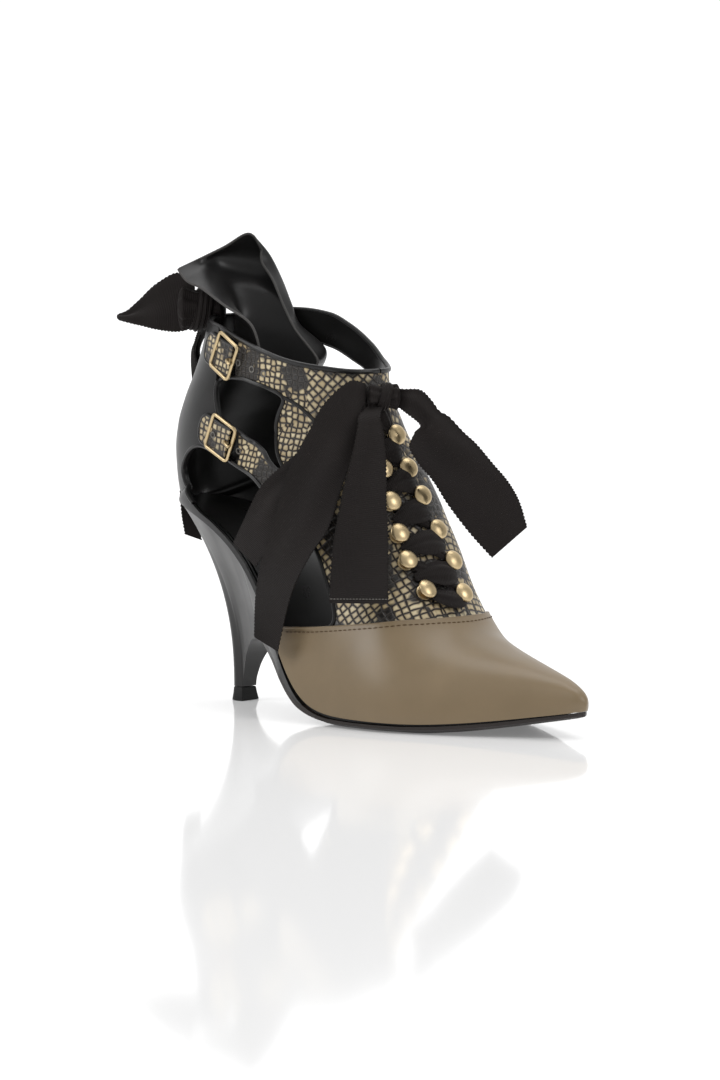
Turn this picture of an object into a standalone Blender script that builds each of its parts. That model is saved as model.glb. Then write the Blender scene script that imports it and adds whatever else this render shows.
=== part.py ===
"""Right shoe: pointed lace-up ankle shoe with straps, ribbons and a comma heel.

Metres, +X to the toe, +Y to the wearer's left (inner side), +Z up. The origin is on the floor, in the
middle of the forefoot's flat spot. Tables are in millimetres, with x counted from the back of the heel.
"""
import math

import bmesh
import bpy
import numpy as np
from mathutils import Matrix, Vector

MM = 0.001

# Driving sizes, millimetres.
LENGTH = 235.0            # back of the heel seat to the toe tip
SEAT_HEIGHT = 91.0        # feather line above the floor at the back
BALL_X = 147.0            # back of the heel to the middle of the tread
WALL = 1.6                # upper, leather with its lining
GAP = 0.3                 # between neighbouring pieces
SEAT_GAP = 0.45           # upper above the sole and the heel
OVERLAY = 1.0             # toe cap and counter leather
SOLE_MARGIN = 0.7         # outsole beyond the feather line
SHANK_SOLE = 2.4          # outsole under the shank
INSOLE_THICK = 2.0
INSOLE_INSET = 3.5
INSOLE_LIFT = 0.3
RIM = 3.2                 # low edge of the upper left along the open waist
TOP_PIECE = 6.2           # height of the heel's lift
STRAP_WIDTH = 13.5
RIBBON_THICK = 0.8
FLOUNCE_THICK = 1.2
HOOK_CAP_R = 4.0
LACE_CLEAR = 0.03         # lace's edge from the middle of a hook, round the last
LACE_S = 0.34             # half width of a crossing along the last, in sections
LACE_Q = 0.022            # and round the last
LACE_OUT = 2.6            # lace above the panel, under the hooks' caps

# Feather line above the floor: x, z.
BOTTOM_LINE = [
    (0, SEAT_HEIGHT), (16, 88), (35, 81.5), (53, 70.5), (67, 58.5), (81, 41), (95, 22.5), (107, 11.4),
    (117, 6.4), (127, 4), (138, 3.2), (160, 3.2), (176, 3.9), (196, 6), (216, 9.1), (LENGTH, 12.4),
]

# Slope of the bottom across the shoe, up to the inner side: x, rise per millimetre.
BOTTOM_TILT = [(0, 0), (50, 0), (67, 0.05), (81, 0.09), (95, 0.1), (107, 0.07), (120, 0.03), (136, 0),
               (LENGTH, 0)]

# Feather outline: x, outer half width, inner half width.
OUTLINE = [
    (0, 0, 0), (2, 8, 8), (8, 15.5, 15.5), (18, 20.7, 20.5), (33, 24.2, 23.5), (52, 25, 23),
    (70, 27.5, 20.5), (88, 32.5, 19.5), (107, 37, 22.5), (124, 38.5, 28), (139, 38, 34.5), (149, 37, 37.5),
    (160, 34, 38.3), (172, 29, 36.5), (188, 20.5, 30.5), (204, 11, 23.5), (218, 2.5, 16.5), (228, -2.5, 12),
    (233, -5, 9.5), (LENGTH, -7, 7),
]

# Sections of the last from the toe to the heel seat, each in a plane through its bottom and its top:
# bottom x, top x, top z, ridge y, outer bulge, inner bulge, height of the bulge, outer crown, inner crown.
FOOT_SECTIONS = [
    (LENGTH, 234.3, 15.5, 7, 0, 0, 0.5, 0, 0),
    (232.5, 231.3, 19.4, 7, 0.4, 0.4, 0.6, 3, 2.2),
    (226, 223, 23.5, 8, 0.8, 0.8, 0.6, 6, 5),
    (214, 209, 27.5, 9, 1.2, 1.2, 0.6, 11, 8.5),
    (198, 192, 31.9, 10, 1.6, 1.6, 0.58, 18, 13),
    (182, 177, 36.2, 11, 2, 2, 0.56, 24, 17.5),
    (167, 165, 41.4, 11, 2.2, 2, 0.54, 29, 22.5),
    (153, 157, 50, 11.5, 2.2, 1.8, 0.52, 30.5, 27),
    (140, 151, 59.6, 12.5, 1, 1.8, 0.5, 31.5, 29),
    (128, 145, 70, 13.5, -1, 3, 0.48, 31.5, 31.5),
    (116, 139.5, 80.5, 14, -3, 6, 0.46, 31, 35),
    (103, 133.5, 91.5, 14, -3, 9, 0.44, 31.5, 35),
    (89, 128.5, 102.5, 13.5, 0, 11, 0.42, 32.5, 34),
    (73, 123.5, 112.5, 12, 3, 11, 0.4, 33, 32),
    (56, 119.5, 121.5, 10.5, 6, 11, 0.36, 33.5, 31.5),
    (40, 117.3, 128.3, 9, 7.5, 10, 0.3, 34, 31.5),
    (26, 116.2, 133.7, 8, 9, 10, 0.24, 36, 32),
    (14, 115.4, 138.2, 6.8, 12, 12, 0.17, 36.8, 32.5),
    (5, 114.9, 142.2, 6, 18, 18, 0.09, 37.5, 33),
]

# Sections round the ankle, closed at the back:
# back x, back z, front x, front z, ridge y, back roundness, outer crown, inner crown.
ANKLE_SECTIONS = [
    (0, SEAT_HEIGHT, 114.7, 145, 5.2, 36, 37, 33.5),
    (-2.5, 101, 114.3, 147.5, 4.6, 37, 36.5, 34),
    (-3, 112, 114, 150, 4.2, 38, 37, 35),
    (-1, 124, 113.6, 152.5, 4, 38.5, 37, 36),
    (4, 136, 113.5, 155, 3.5, 38.5, 38, 36),
    (10.5, 148, 113.4, 158, 3.5, 38, 38, 36),
    (16.5, 161, 113.4, 162, 3, 38, 38, 37),
    (20.5, 176, 113.6, 168, 3, 38, 38, 37),
    (22.5, 200, 114.5, 180, 3, 38, 38, 37),
]
SEAT_ROW = len(FOOT_SECTIONS)
LAST_ROW = len(FOOT_SECTIONS) + len(ANKLE_SECTIONS) - 1

# Top edge of the collar: x, z on the outer side, z on the inner side.
COLLAR_LINE = [
    (-30, 174, 174), (20, 173.5, 174.5), (30, 172, 177), (43, 170, 176.8), (58, 165.2, 174.9),
    (70, 161.2, 170.2), (86, 156.2, 162), (99, 153.8, 155.2), (113, 152, 152.4), (140, 152, 152.4),
]

# Window between the two straps, outer side: x, z.
WINDOW_OUTER = [
    (43.6, 146.3), (57.4, 148.2), (66, 146.6), (73.7, 144.3), (81, 140), (78, 133), (76.5, 127), (77.2, 121),
    (79.5, 114.5), (82.8, 108.8), (79.8, 108), (74.5, 111.6), (69, 117), (59.4, 121.5), (50, 127),
    (43.6, 131.5),
]
WINDOW_INNER = [
    (43.6, 161.5), (57.8, 161.2), (72.9, 155.6), (86, 149.3), (82, 139), (78, 130), (77, 121.7),
    (79, 115), (74.3, 113.8), (69, 118), (59.4, 121.5), (50, 127), (43.6, 131.5),
]

# Open waist below the lower strap, from the seat up the counter and forward to the toe cap: x, z.
WAIST_EDGE = [
    (24, 90.4), (18.2, 94.2), (14, 99), (12.4, 104.8), (16, 110.5), (22, 115), (30, 116.9), (40, 114.3),
    (50.9, 110.2), (64.3, 105.4), (72.4, 99.4), (78, 95.5), (86, 91), (94, 85), (101, 78.5), (106, 72.5),
    (110.5, 64.5), (116.4, 54), (119.6, 46.5), (118, 42.9), (110, 41.5), (100, 40.8), (93, 40.2),
    (90.2, 36.5),
]
WAIST_EDGE_INNER = [
    (40, 85.5), (38.5, 92), (40.5, 99), (46, 104), (54, 106.2), (64.3, 104.4), (72.4, 99.4), (78, 95.5),
    (86, 91), (94, 85), (101, 78.5), (106, 72.5), (110.5, 64.5), (116.4, 54), (119.6, 46.5), (118, 42.9),
    (110, 41.5), (100, 40.8), (93, 40.2), (90.2, 36.5),
]
WAIST_RIM_X = (86, 78, 70, 62, 54, 46, 38, 30)

# Top edge of the toe cap and its short back edge: x, z.
CAP_EDGE = [
    (88.6, 12), (89.6, 34), (91, 40.2), (100, 40.8), (110, 41.5), (120, 42.5), (130, 43.6), (142, 45),
    (152, 46.6), (160, 47.6), (170, 48.4), (186, 50),
]
COUNTER_FRONT = 43.2      # front edge of the counter leather, x

# Bottom edge of the outsole on the outer side: x, z.
SOLE_LINE = [(58, 31.3), (64, 31), (72, 28.8), (80, 25.2), (88, 18.5), (95.5, 11.8), (104, 6.6), (113, 3.7),
             (124, 2.1), (138, 1.7), (160, 1.7), (176, 2.3), (196, 4.4), (216, 7.5), (236, 10.9)]
# Tread inside that edge: x, z. Flat on the floor between 130 and 168.
TREAD_LINE = [(58, 30.9), (64, 30.6), (72, 28.3), (80, 24.6), (88, 17.7), (95.5, 10.8), (104, 5.2), (113, 1.8),
              (122, 0.3), (130, 0), (168, 0), (180, 0.8), (196, 3), (216, 6.5), (236, 10.2)]
# Half width of the outsole under the shank: x, half.
SHANK_HALF = [(58, 16), (64, 20), (72, 25), (80, 29.5), (88, 33), (95, 36.2), (104, 39), (236, 60)]
SOLE_STATIONS = (58, 61, 64, 68, 72, 76, 80, 84, 88, 92, 95.5, 100, 104, 108, 113, 118, 124, 130, 138, 147,
                 156, 162, 168, 174, 180, 188, 196, 206, 216, 224, 230, 234, 236)
WEDGE_FULL = 112.0        # ahead of this the outsole fills the height under the feather line
WEDGE_THIN = 103.0        # behind this it is SHANK_SOLE thick and the heel's wedge lies above it

# Ribs of the heel ahead of the breast: top x, low x.
WEDGE_RIBS = [(108, 108), (104, 104), (100, 100), (95.5, 95.5), (92, 92), (88, 88), (84, 84), (79.5, 80),
              (75.5, 76), (71, 72), (67, 68), (63, 64), (60, 61), (57, 57.65)]
# Ribs of the heel from the breast to the back: top x, low x, low z, low half width, hollow.
STEM_RIBS = [
    (55.5, 57.6, 31.2, 15.5, 1.35), (49, 51, 30.3, 12.5, 1.5), (43, 45.5, 27.6, 9.5, 1.65),
    (36, 41, 23, 7, 1.8), (29, 37.5, 16, 5, 1.95), (22, 35.6, 9.5, 4.3, 2.1), (15, 35, 6.5, 4.4, 2.2),
    (8, 31.5, 6.5, 4.6, 2.25), (3, 28.8, 6.5, 3.4, 2.3), (0, 28, 6.5, 0, 2.3),
]
RIB_STEPS = 8
PLACES = np.linspace(-1, 1, 15)   # places round the last where the shells have points

# Speed hooks: row on the last and place round the last of the outer and of the inner one.
HOOKS = [
    (14.3, -0.165, 14.3, -0.02), (12.95, -0.165, 12.65, -0.035), (11.75, -0.195, 11.5, -0.02),
    (10.6, -0.22, 10.15, 0), (9.55, -0.235, 8.9, 0.03), (8.1, -0.195, 7.55, 0.03),
]
HOOK_PROFILE = [(0, 0), (3.2, 0), (3.2, 0.8), (1.5, 1), (1.5, 3.4), (HOOK_CAP_R, 3.8), (3.3, 5), (0, 5.6)]
HOOK_SIDES = 8

# Buckles: x, z, turn in degrees.
BUCKLES = [("upper", 49.4, 157.8, -33), ("lower", 45.8, 121.5, -37)]
BUCKLE_WIDTH = 16.0
BUCKLE_HEIGHT = 18.0
BUCKLE_WIRE = 2.2

# Ends of the straps behind the buckles: name, x and z at the buckle, x and z at the end.
STRAP_TIPS = [("upper", 38, 160.7, 32.5, 162.5), ("lower", 35.5, 124.6, 31, 126.4)]

# Ribbon tails, one row across the ribbon after another: x, y, z of one edge and of the other.
TAIL_A = [
    (115.9, -6.2, 147, 116.3, -6.2, 141), (115, -16, 148, 115, -17, 138), (106.5, -22.5, 138, 118, -15, 124),
    (102, -27, 126, 119, -20, 112), (95, -32, 110, 118, -25, 100), (89.5, -34.5, 91, 116, -30, 85),
    (83, -36, 74, 110, -35, 73), (79.5, -37.5, 56, 104, -40, 57), (84, -43, 36, 97, -42, 31),
]
TAIL_B = [
    (117, -4.5, 137.8, 122, -2, 137.8), (120, -14, 133.5, 126, -8, 133.5), (122, -17, 128, 128, -8, 127),
    (123, -22, 115, 131, -9, 114), (123, -27, 101, 135, -13, 99), (124, -33, 82, 140, -17, 83),
    (125, -36, 68, 146, -23, 68), (127, -39, 54, 152, -29, 55),
]
TAIL_C = [
    (97.4, -27.8, 118, 107.4, -23.2, 113), (85.6, -31.6, 108, 99.4, -28.4, 103), (78, -34, 100, 92, -32, 93),
    (68, -34, 86, 85, -34, 78), (60, -33, 75, 75, -34, 66),
]
TAIL_D = [
    (123, 3.3, 146.3, 123, 3.3, 141.3), (126.5, 5.5, 144.6, 125, 4, 138), (135, 8, 144.5, 131.5, 4.5, 134.3),
    (140, 10, 140, 136.5, 6.5, 130.5), (143, 12, 135.5, 138, 6, 128), (146, 15, 133, 136.5, 2.5, 124.5),
    (150, 19, 127, 136, 1, 119.8), (155, 23, 121, 139, 3.5, 113), (160.5, 27.5, 112.5, 144, 8, 105),
    (165.5, 31.5, 105, 149, 12, 95), (170, 34, 96.5, 156, 18, 83), (173, 36, 85, 163, 25, 72),
]
KNOT_AT = (119.3, -1.5, 144)
KNOT_SIZE = (5.6, 5.2, 6)
BACK_KNOT_AT = (14.5, -5.5, 175.5)
BACK_KNOT_SIZE = (5, 6, 6)
# Loop of the bow behind the ankle, out on top and back below, in the same form as the tails.
BACK_LOOP = [
    (10, -9.5, 180, 10, -9.5, 171), (2, -12, 193, 3, -14, 167), (-7, -17, 188, -4, -20, 168),
    (-14.5, -20.5, 180.5, -10.5, -24.5, 170), (-19.5, -23.5, 175.5, -15, -28, 171.5),
    (-22.8, -26.8, 173.6, -18.6, -30.6, 172.6), (-22.2, -22.7, 173.4, -19.3, -25.3, 171.8),
    (-17.5, -16.5, 177, -14.5, -19.5, 171), (-6.5, -10.5, 182, -4.5, -12.5, 172.3),
    (8, -6.5, 179, 8, -6.5, 173),
]
BACK_TAIL_1 = [
    (11.5, -7.5, 169.1, 14, -2.5, 169.1), (0, -2, 158, -2, 4, 158), (-4, 3, 143, -6, 9, 143),
    (-6.5, 4.5, 131, -7.5, 10.5, 131), (-9, 3, 112, -9, 11, 112), (-10.5, 0.5, 97, -9.5, 9.5, 95),
    (-9, -0.5, 84, -5.5, 6.5, 82), (-6, -1, 73, -1, 4, 70.5),
]
BACK_TAIL_2 = [
    (15, 0, 171.5, 11.6, -0.4, 171.5), (0.5, 7.5, 156, -3.5, 12.5, 156), (-6.5, 11.5, 144, -10.5, 16.5, 144),
    (-10.5, 11.5, 130, -13.5, 16.5, 130),
]

# Flounce, from inside the collar to its top edge: outer edge, back, fold and free edge, x, y, z each.
FLOUNCE_ROWS = [
    (68, -23.4, 150, 30, 0, 150, 50, 19, 150, 62, 10, 150),
    (67.5, -23.6, 160, 27, 0, 163, 50, 20.5, 161, 60, 11.5, 159),
    (62, -24, 172, 27, 1, 176, 45, 20, 171, 52, 13.5, 168),
    (45, -24, 180, 20, 3, 187, 40, 20, 180, 43, 15, 178),
    (27, -21, 187, 12, 4, 195, 30, 23.5, 191, 34, 16.5, 190),
    (14, -18, 190, 11, 4, 201, 26, 20, 202, 28, 15.5, 198),
    (5, -15, 195, 15, 3, 204.5, 25, 10, 211, 27, 16, 204),
]

LEATHER_BLACK = (0.012, 0.012, 0.013, 1)
LEATHER_TAN = (0.235, 0.178, 0.107, 1)
PYTHON = (0.46, 0.36, 0.22, 1)
RIBBON_BLACK = (0.016, 0.015, 0.015, 1)
BRASS = (0.6, 0.45, 0.18, 1)


def clear_file():
    for obj in list(bpy.data.objects):
        bpy.data.objects.remove(obj, do_unlink=True)


def new_collection(name, hidden=False):
    coll = bpy.data.collections.new(name)
    bpy.context.scene.collection.children.link(coll)
    coll.hide_render = hidden
    return coll


def material(name, colour, metallic=0.0, roughness=0.5):
    mat = bpy.data.materials.new(name)
    mat.use_nodes = True
    shader = mat.node_tree.nodes["Principled BSDF"]
    shader.inputs["Base Color"].default_value = colour
    shader.inputs["Metallic"].default_value = metallic
    shader.inputs["Roughness"].default_value = roughness
    mat.diffuse_color = colour
    return mat


def smooth(table, x, column=1):
    """Monotone cubic through one column of a table, read at x."""
    xs = np.array([row[0] for row in table], float)
    ys = np.array([row[column] for row in table], float)
    x = np.clip(np.asarray(x, float), xs[0], xs[-1])
    h = np.diff(xs)
    d = np.diff(ys) / h
    m = np.zeros_like(xs)
    for k in range(1, len(xs) - 1):
        if d[k - 1] * d[k] > 0:
            w1 = 2 * h[k] + h[k - 1]
            w2 = h[k] + 2 * h[k - 1]
            m[k] = (w1 + w2) / (w1 / d[k - 1] + w2 / d[k])
    m[0] = d[0]
    m[-1] = d[-1]
    k = np.clip(np.searchsorted(xs, x, side="right") - 1, 0, len(h) - 1)
    t = (x - xs[k]) / h[k]
    a = (2 * t**3 - 3 * t**2 + 1) * ys[k] + (t**3 - 2 * t**2 + t) * h[k] * m[k]
    return a + (3 * t**2 - 2 * t**3) * ys[k + 1] + (t**3 - t**2) * h[k] * m[k + 1]


def half_width(x, side):
    return smooth(OUTLINE, x, 1 if side < 0 else 2)


def bottom_z(x, y=0.0):
    return smooth(BOTTOM_LINE, x) + smooth(BOTTOM_TILT, x) * y


def last_rows():
    """One row of numbers for each section: bottom, top, ridge, half widths, handles of the curves."""
    rows = []
    for bx, tx, tz, ridge, bulge_o, bulge_i, lift, crown_o, crown_i in FOOT_SECTIONS:
        outer = float(half_width(bx, -1))
        inner = float(half_width(bx, 1))
        tilt = float(smooth(BOTTOM_TILT, bx))
        rows.append((bx, float(smooth(BOTTOM_LINE, bx)), tx, tz, ridge, outer, inner, outer + bulge_o,
                     inner + bulge_i, lift, crown_o, crown_i, tilt))
    for bx, bz, tx, tz, ridge, low, crown_o, crown_i in ANKLE_SECTIONS:
        rows.append((bx, bz, tx, tz, ridge, 0.0, 0.0, low, low, 0.0, crown_o, crown_i, 0.0))
    return [(float(k),) + row for k, row in enumerate(rows)]


LAST = last_rows()


def last_point(s, q):
    """Point on the last: s counts sections from the toe, q runs from -1 at the outer feather line over 0 at
    the ridge to 1 at the inner feather line."""
    s = np.asarray(s, float)
    q = np.asarray(q, float)
    bx, bz, tx, tz, ridge, wo, wi, lo, li, lift, co, ci, tilt = [smooth(LAST, s, c) for c in range(1, 14)]
    outer = q < 0
    side = np.where(outer, -1.0, 1.0)
    t = 1 - np.abs(q)
    y0 = side * np.where(outer, wo, wi)
    y1 = side * np.where(outer, lo, li)
    y2 = ridge + side * np.where(outer, co, ci)
    y = (1 - t)**3 * y0 + 3 * (1 - t)**2 * t * y1 + 3 * (1 - t) * t**2 * y2 + t**3 * ridge
    v = 3 * (1 - t)**2 * t * lift + 3 * (1 - t) * t**2 + t**3
    z0 = bz + tilt * y0
    return np.stack([bx + (tx - bx) * v, y, z0 + (tz - z0) * v], -1)


def rim_z(x, y):
    """Height of the upper's low rim, which runs straight from row to row."""
    xs = [float(smooth(LAST, s, 1)) for s in np.arange(SEAT_ROW, -0.5, -0.5)]
    return float(np.interp(x, xs, [float(bottom_z(v)) for v in xs]) + smooth(BOTTOM_TILT, x) * y)


def last_normal(s, q):
    """Outward normal. Where the two sides meet, at the back and at the toe tip, it is the mean of both."""
    s = np.asarray(s, float)
    q = np.asarray(q, float)
    joined = ((np.abs(q) > 0.999) & (s >= SEAT_ROW)) | (s <= 0.0)
    total = 0.0
    for sign in (1.0, -1.0):
        ss = np.clip(s, 0.02, LAST_ROW - 0.02)
        qq = np.clip(sign * q, -0.985, 0.985)
        ds = last_point(ss + 0.02, qq) - last_point(ss - 0.02, qq)
        dq = last_point(ss, qq + 0.015) - last_point(ss, qq - 0.015)
        n = np.cross(dq, ds)
        n = n / np.linalg.norm(n, axis=-1, keepdims=True)
        total = total + n * np.where(joined | (sign > 0), 1.0, 0.0)[..., None]
    return total / np.linalg.norm(total, axis=-1, keepdims=True)


def last_offset(s, q, out):
    """Point at a distance from the last. Along the feather line the distance is kept level."""
    s = np.asarray(s, float)
    q = np.asarray(q, float)
    n = last_normal(s, q)
    level = np.clip((np.abs(q) - 0.75) / 0.25, 0, 1) * np.clip(SEAT_ROW + 1 - s, 0, 1)
    n = n * np.stack([np.ones_like(level), np.ones_like(level), 1 - level], -1)
    return last_point(s, q) + out * n / np.linalg.norm(n, axis=-1, keepdims=True)


def find_on_last(x, z, side):
    """Row and place round the last of the point that stands at x, z on one side."""
    ss, qq = np.meshgrid(np.linspace(2, LAST_ROW, 120), np.linspace(0.03, 0.97, 60) * side, indexing="ij")
    p = last_point(ss, qq)
    k = np.argmin((p[..., 0] - x)**2 + (p[..., 2] - z)**2)
    guess = np.array([ss.flat[k], qq.flat[k]])
    for _ in range(12):
        here = last_point(*guess)[[0, 2]]
        ds = (last_point(guess[0] + 0.01, guess[1])[[0, 2]] - here) / 0.01
        dq = (last_point(guess[0], guess[1] + 0.002)[[0, 2]] - here) / 0.002
        step = np.linalg.lstsq(np.stack([ds, dq], 1), np.array([x, z]) - here, rcond=None)[0]
        guess = guess + np.clip(step, -0.3, 0.3)
    return guess


def rounded(points, closed=True, steps=3):
    """Points along a smooth curve through the given ones."""
    p = np.array(points, float)
    n = len(p)
    out = []
    for k in range(n if closed else n - 1):
        if closed:
            a, b, c, d = p[k - 1], p[k], p[(k + 1) % n], p[(k + 2) % n]
        else:
            a, b, c, d = p[max(k - 1, 0)], p[k], p[k + 1], p[min(k + 2, n - 1)]
        for i in range(steps):
            t = i / steps
            out.append(0.5 * (2 * b + (c - a) * t + (2 * a - 5 * b + 4 * c - d) * t**2
                              + (3 * b - a - 3 * c + d) * t**3))
    if not closed:
        out.append(p[-1])
    return np.array(out)


def to_metres(p):
    return Vector(((p[0] - BALL_X) * MM, p[1] * MM, p[2] * MM))


def add_object(name, points, faces, mat, coll, outward=True):
    """Mesh object from points in millimetres, welded, with its faces turned outward if it is closed."""
    mesh = bpy.data.meshes.new(name)
    mesh.from_pydata([to_metres(p) for p in points], [], faces)
    bm = bmesh.new()
    bm.from_mesh(mesh)
    bmesh.ops.remove_doubles(bm, verts=bm.verts, dist=0.00001)
    bmesh.ops.dissolve_degenerate(bm, edges=bm.edges, dist=0.000001)
    if outward:
        bmesh.ops.recalc_face_normals(bm, faces=bm.faces)
    bm.to_mesh(mesh)
    bm.free()
    obj = bpy.data.objects.new(name, mesh)
    if mat is not None:
        mesh.materials.append(mat)
    coll.objects.link(obj)
    return obj


def grid_faces(rows, columns, closed=False):
    faces = []
    for i in range(rows - 1):
        for j in range(columns if closed else columns - 1):
            k = (j + 1) % columns
            faces.append((i * columns + j, i * columns + k, (i + 1) * columns + k, (i + 1) * columns + j))
    return faces


def add_solidify(obj, thickness, offset):
    mod = obj.modifiers.new("wall", "SOLIDIFY")
    mod.thickness = thickness * MM
    mod.offset = offset
    mod.use_quality_normals = True
    return mod


def add_boolean(obj, other, operation="DIFFERENCE"):
    mod = obj.modifiers.new(other.name, "BOOLEAN")
    mod.operation = operation
    mod.object = other
    mod.solver = "EXACT"
    return mod


def add_cutter(name, points, faces, coll):
    obj = add_object(name, points, faces, None, coll)
    obj.display_type = "WIRE"
    obj.hide_render = True
    return obj


def add_prism(name, outline, y0, y1, coll):
    """Cutter with the given outline in side view, from y0 to y1."""
    n = len(outline)
    points = [(x, y0, z) for x, z in outline] + [(x, y1, z) for x, z in outline]
    faces = [tuple(range(n)), tuple(range(2 * n - 1, n - 1, -1))]
    faces += [(k, (k + 1) % n, n + (k + 1) % n, n + k) for k in range(n)]
    return add_cutter(name, points, faces, coll)


def add_shell(name, rows, places, low, high, mat, coll):
    """Closed skin on the last between two distances from it."""
    index = {}
    outer = []
    inner = []
    ids = np.zeros((len(rows), len(places)), int)
    for i, s in enumerate(rows):
        for j, q in enumerate(places):
            p = last_offset(s, q, high)
            key = tuple(np.round(p, 2))
            if key not in index:
                index[key] = len(outer)
                outer.append(p)
                inner.append(last_offset(s, q, low))
            ids[i, j] = index[key]
    n = len(outer)
    faces = []
    rim = {}
    for i in range(len(rows) - 1):
        for j in range(len(places) - 1):
            ring = [ids[i, j], ids[i, j + 1], ids[i + 1, j + 1], ids[i + 1, j]]
            ring = [k for m, k in enumerate(ring) if k != ring[m - 1]]
            turned = ring if places[j] < 0 else ring[1:] + ring[:1]
            for m in range(1, len(ring) - 1):
                faces.append((turned[0], turned[m], turned[m + 1]))
                faces.append((n + turned[m + 1], n + turned[m], n + turned[0]))
            for a, b in zip(ring, ring[1:] + ring[:1]):
                if (b, a) in rim:
                    del rim[(b, a)]
                else:
                    rim[(a, b)] = True
    faces += [(b, a, n + a, n + b) for a, b in rim]
    return add_object(name, outer + inner, faces, mat, coll)


def add_strip(name, left, right, thickness, mat, coll, offset=0.0):
    """Ribbon between two edges, thickened."""
    count = len(left)
    points = [p for pair in zip(left, right) for p in pair]
    faces = [(2 * k, 2 * k + 1, 2 * k + 3, 2 * k + 2) for k in range(count - 1)]
    obj = add_object(name, points, faces, mat, coll, outward=False)
    add_solidify(obj, thickness, offset)
    return obj


def collar_cutter(coll):
    """Everything above the collar line, which is higher on the inner side."""
    xs = np.linspace(-30, 140, 24)
    ys = np.linspace(-60, 60, 9)
    share = np.clip((ys + 24) / 48, 0, 1)
    share = share * share * (3 - 2 * share)
    low = np.array([[(x, y, float(smooth(COLLAR_LINE, x, 1)) * (1 - f) + float(smooth(COLLAR_LINE, x, 2)) * f)
                     for y, f in zip(ys, share)] for x in xs]).reshape(-1, 3)
    high = low.copy()
    high[:, 2] = 240
    rows, columns = len(xs), len(ys)
    n = len(low)
    faces = grid_faces(rows, columns) + [tuple(n + k for k in f) for f in grid_faces(rows, columns)]
    rim = [k for k in range(columns)] + [i * columns + columns - 1 for i in range(1, rows)]
    rim += [(rows - 1) * columns + j for j in range(columns - 2, -1, -1)]
    rim += [i * columns for i in range(rows - 2, 0, -1)]
    faces += [(a, b, n + b, n + a) for a, b in zip(rim, rim[1:] + rim[:1])]
    return add_cutter("cut_collar", np.vstack([low, high]), faces, coll)


def waist_outline(side):
    edge = [tuple(p) for p in rounded(WAIST_EDGE if side < 0 else WAIST_EDGE_INNER, closed=False, steps=2)]
    for x in [x for x in WAIST_RIM_X if side < 0 or x > WAIST_EDGE_INNER[0][0]]:
        y = side * float(half_width(x, side))
        edge.append((x, float(bottom_z(x, y)) + RIM))
    return edge


def make_cutters(coll):
    cut = {"collar": collar_cutter(coll)}
    cut["window_outer"] = add_prism("cut_window_outer", rounded(WINDOW_OUTER, steps=2), -70, -6, coll)
    cut["window_inner"] = add_prism("cut_window_inner", rounded(WINDOW_INNER, steps=2), 6, 70, coll)
    cut["waist_outer"] = add_prism("cut_waist_outer", waist_outline(-1), -70, -6, coll)
    cut["waist_inner"] = add_prism("cut_waist_inner", waist_outline(1), 6, 70, coll)
    above_cap = list(CAP_EDGE) + [(186, 160), (60, 160), (60, 12)]
    cut["above_cap"] = add_prism("cut_above_cap", above_cap, -80, 80, coll)
    ahead = [(COUNTER_FRONT, 20), (160, 20), (160, 230), (COUNTER_FRONT, 230)]
    cut["ahead_of_counter"] = add_prism("cut_ahead_of_counter", ahead, -80, 80, coll)
    return cut


def make_upper(coll, cut, mats):
    rows = np.concatenate([[0, 0.3, 0.6], np.arange(1, SEAT_ROW, 0.5),
                           np.arange(SEAT_ROW, LAST_ROW + 0.5, 1.0)])
    upper = add_shell("upper", rows, PLACES, -WALL, 0.0, mats["python"], coll)
    for key in ("collar", "window_outer", "window_inner", "waist_outer", "waist_inner"):
        add_boolean(upper, cut[key])


def make_toe_cap(coll, cut, mats):
    rows = np.concatenate([[0, 0.3, 0.6], np.arange(1, 13.5, 0.5)])
    cap = add_shell("toe_cap", rows, np.clip(PLACES, -0.97, 0.97), GAP, GAP + OVERLAY, mats["tan"], coll)
    add_boolean(cap, cut["above_cap"])


def make_counter(coll, cut, mats):
    rows = np.concatenate([np.arange(13.5, SEAT_ROW, 0.5), np.arange(SEAT_ROW, LAST_ROW + 0.5, 1.0)])
    counter = add_shell("counter", rows, PLACES, GAP, GAP + OVERLAY, mats["black"], coll)
    for key in ("ahead_of_counter", "collar", "window_outer", "window_inner", "waist_outer", "waist_inner"):
        add_boolean(counter, cut[key])


def make_insole(coll, mats):
    xs = np.concatenate([[1, 3, 6, 10, 16], np.arange(24, 226, 10.0), [228]])
    places = np.linspace(0, 1, 5)
    points = []
    for x in xs:
        here = INSOLE_INSET + x * (LENGTH - INSOLE_INSET - 5.5) / LENGTH
        low = -(float(half_width(x, -1)) - INSOLE_INSET)
        high = float(half_width(x, 1)) - INSOLE_INSET
        for f in places:
            y = low + (high - low) * f
            points.append((here, y, float(bottom_z(here, y)) + INSOLE_LIFT))
    insole = add_object("insole", points, grid_faces(len(xs), 5), mats["black"], coll, outward=False)
    add_solidify(insole, INSOLE_THICK, -1.0)


def sole_half(x, side):
    inner = float(half_width(min(x, LENGTH) if x < 228 else x - SOLE_MARGIN, side)) + SOLE_MARGIN
    return min(inner, float(smooth(SHANK_HALF, x)))


def sole_edge_z(x, y):
    return float(smooth(SOLE_LINE, x) + smooth(BOTTOM_TILT, x) * (y + sole_half(x, -1)))


def sole_top_z(x, y):
    full = rim_z(x, y) - SEAT_GAP
    thin = sole_edge_z(x, y) + SHANK_SOLE
    share = min(max((x - WEDGE_THIN) / (WEDGE_FULL - WEDGE_THIN), 0.0), 1.0)
    return min(full, thin + (full - thin) * share)


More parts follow.
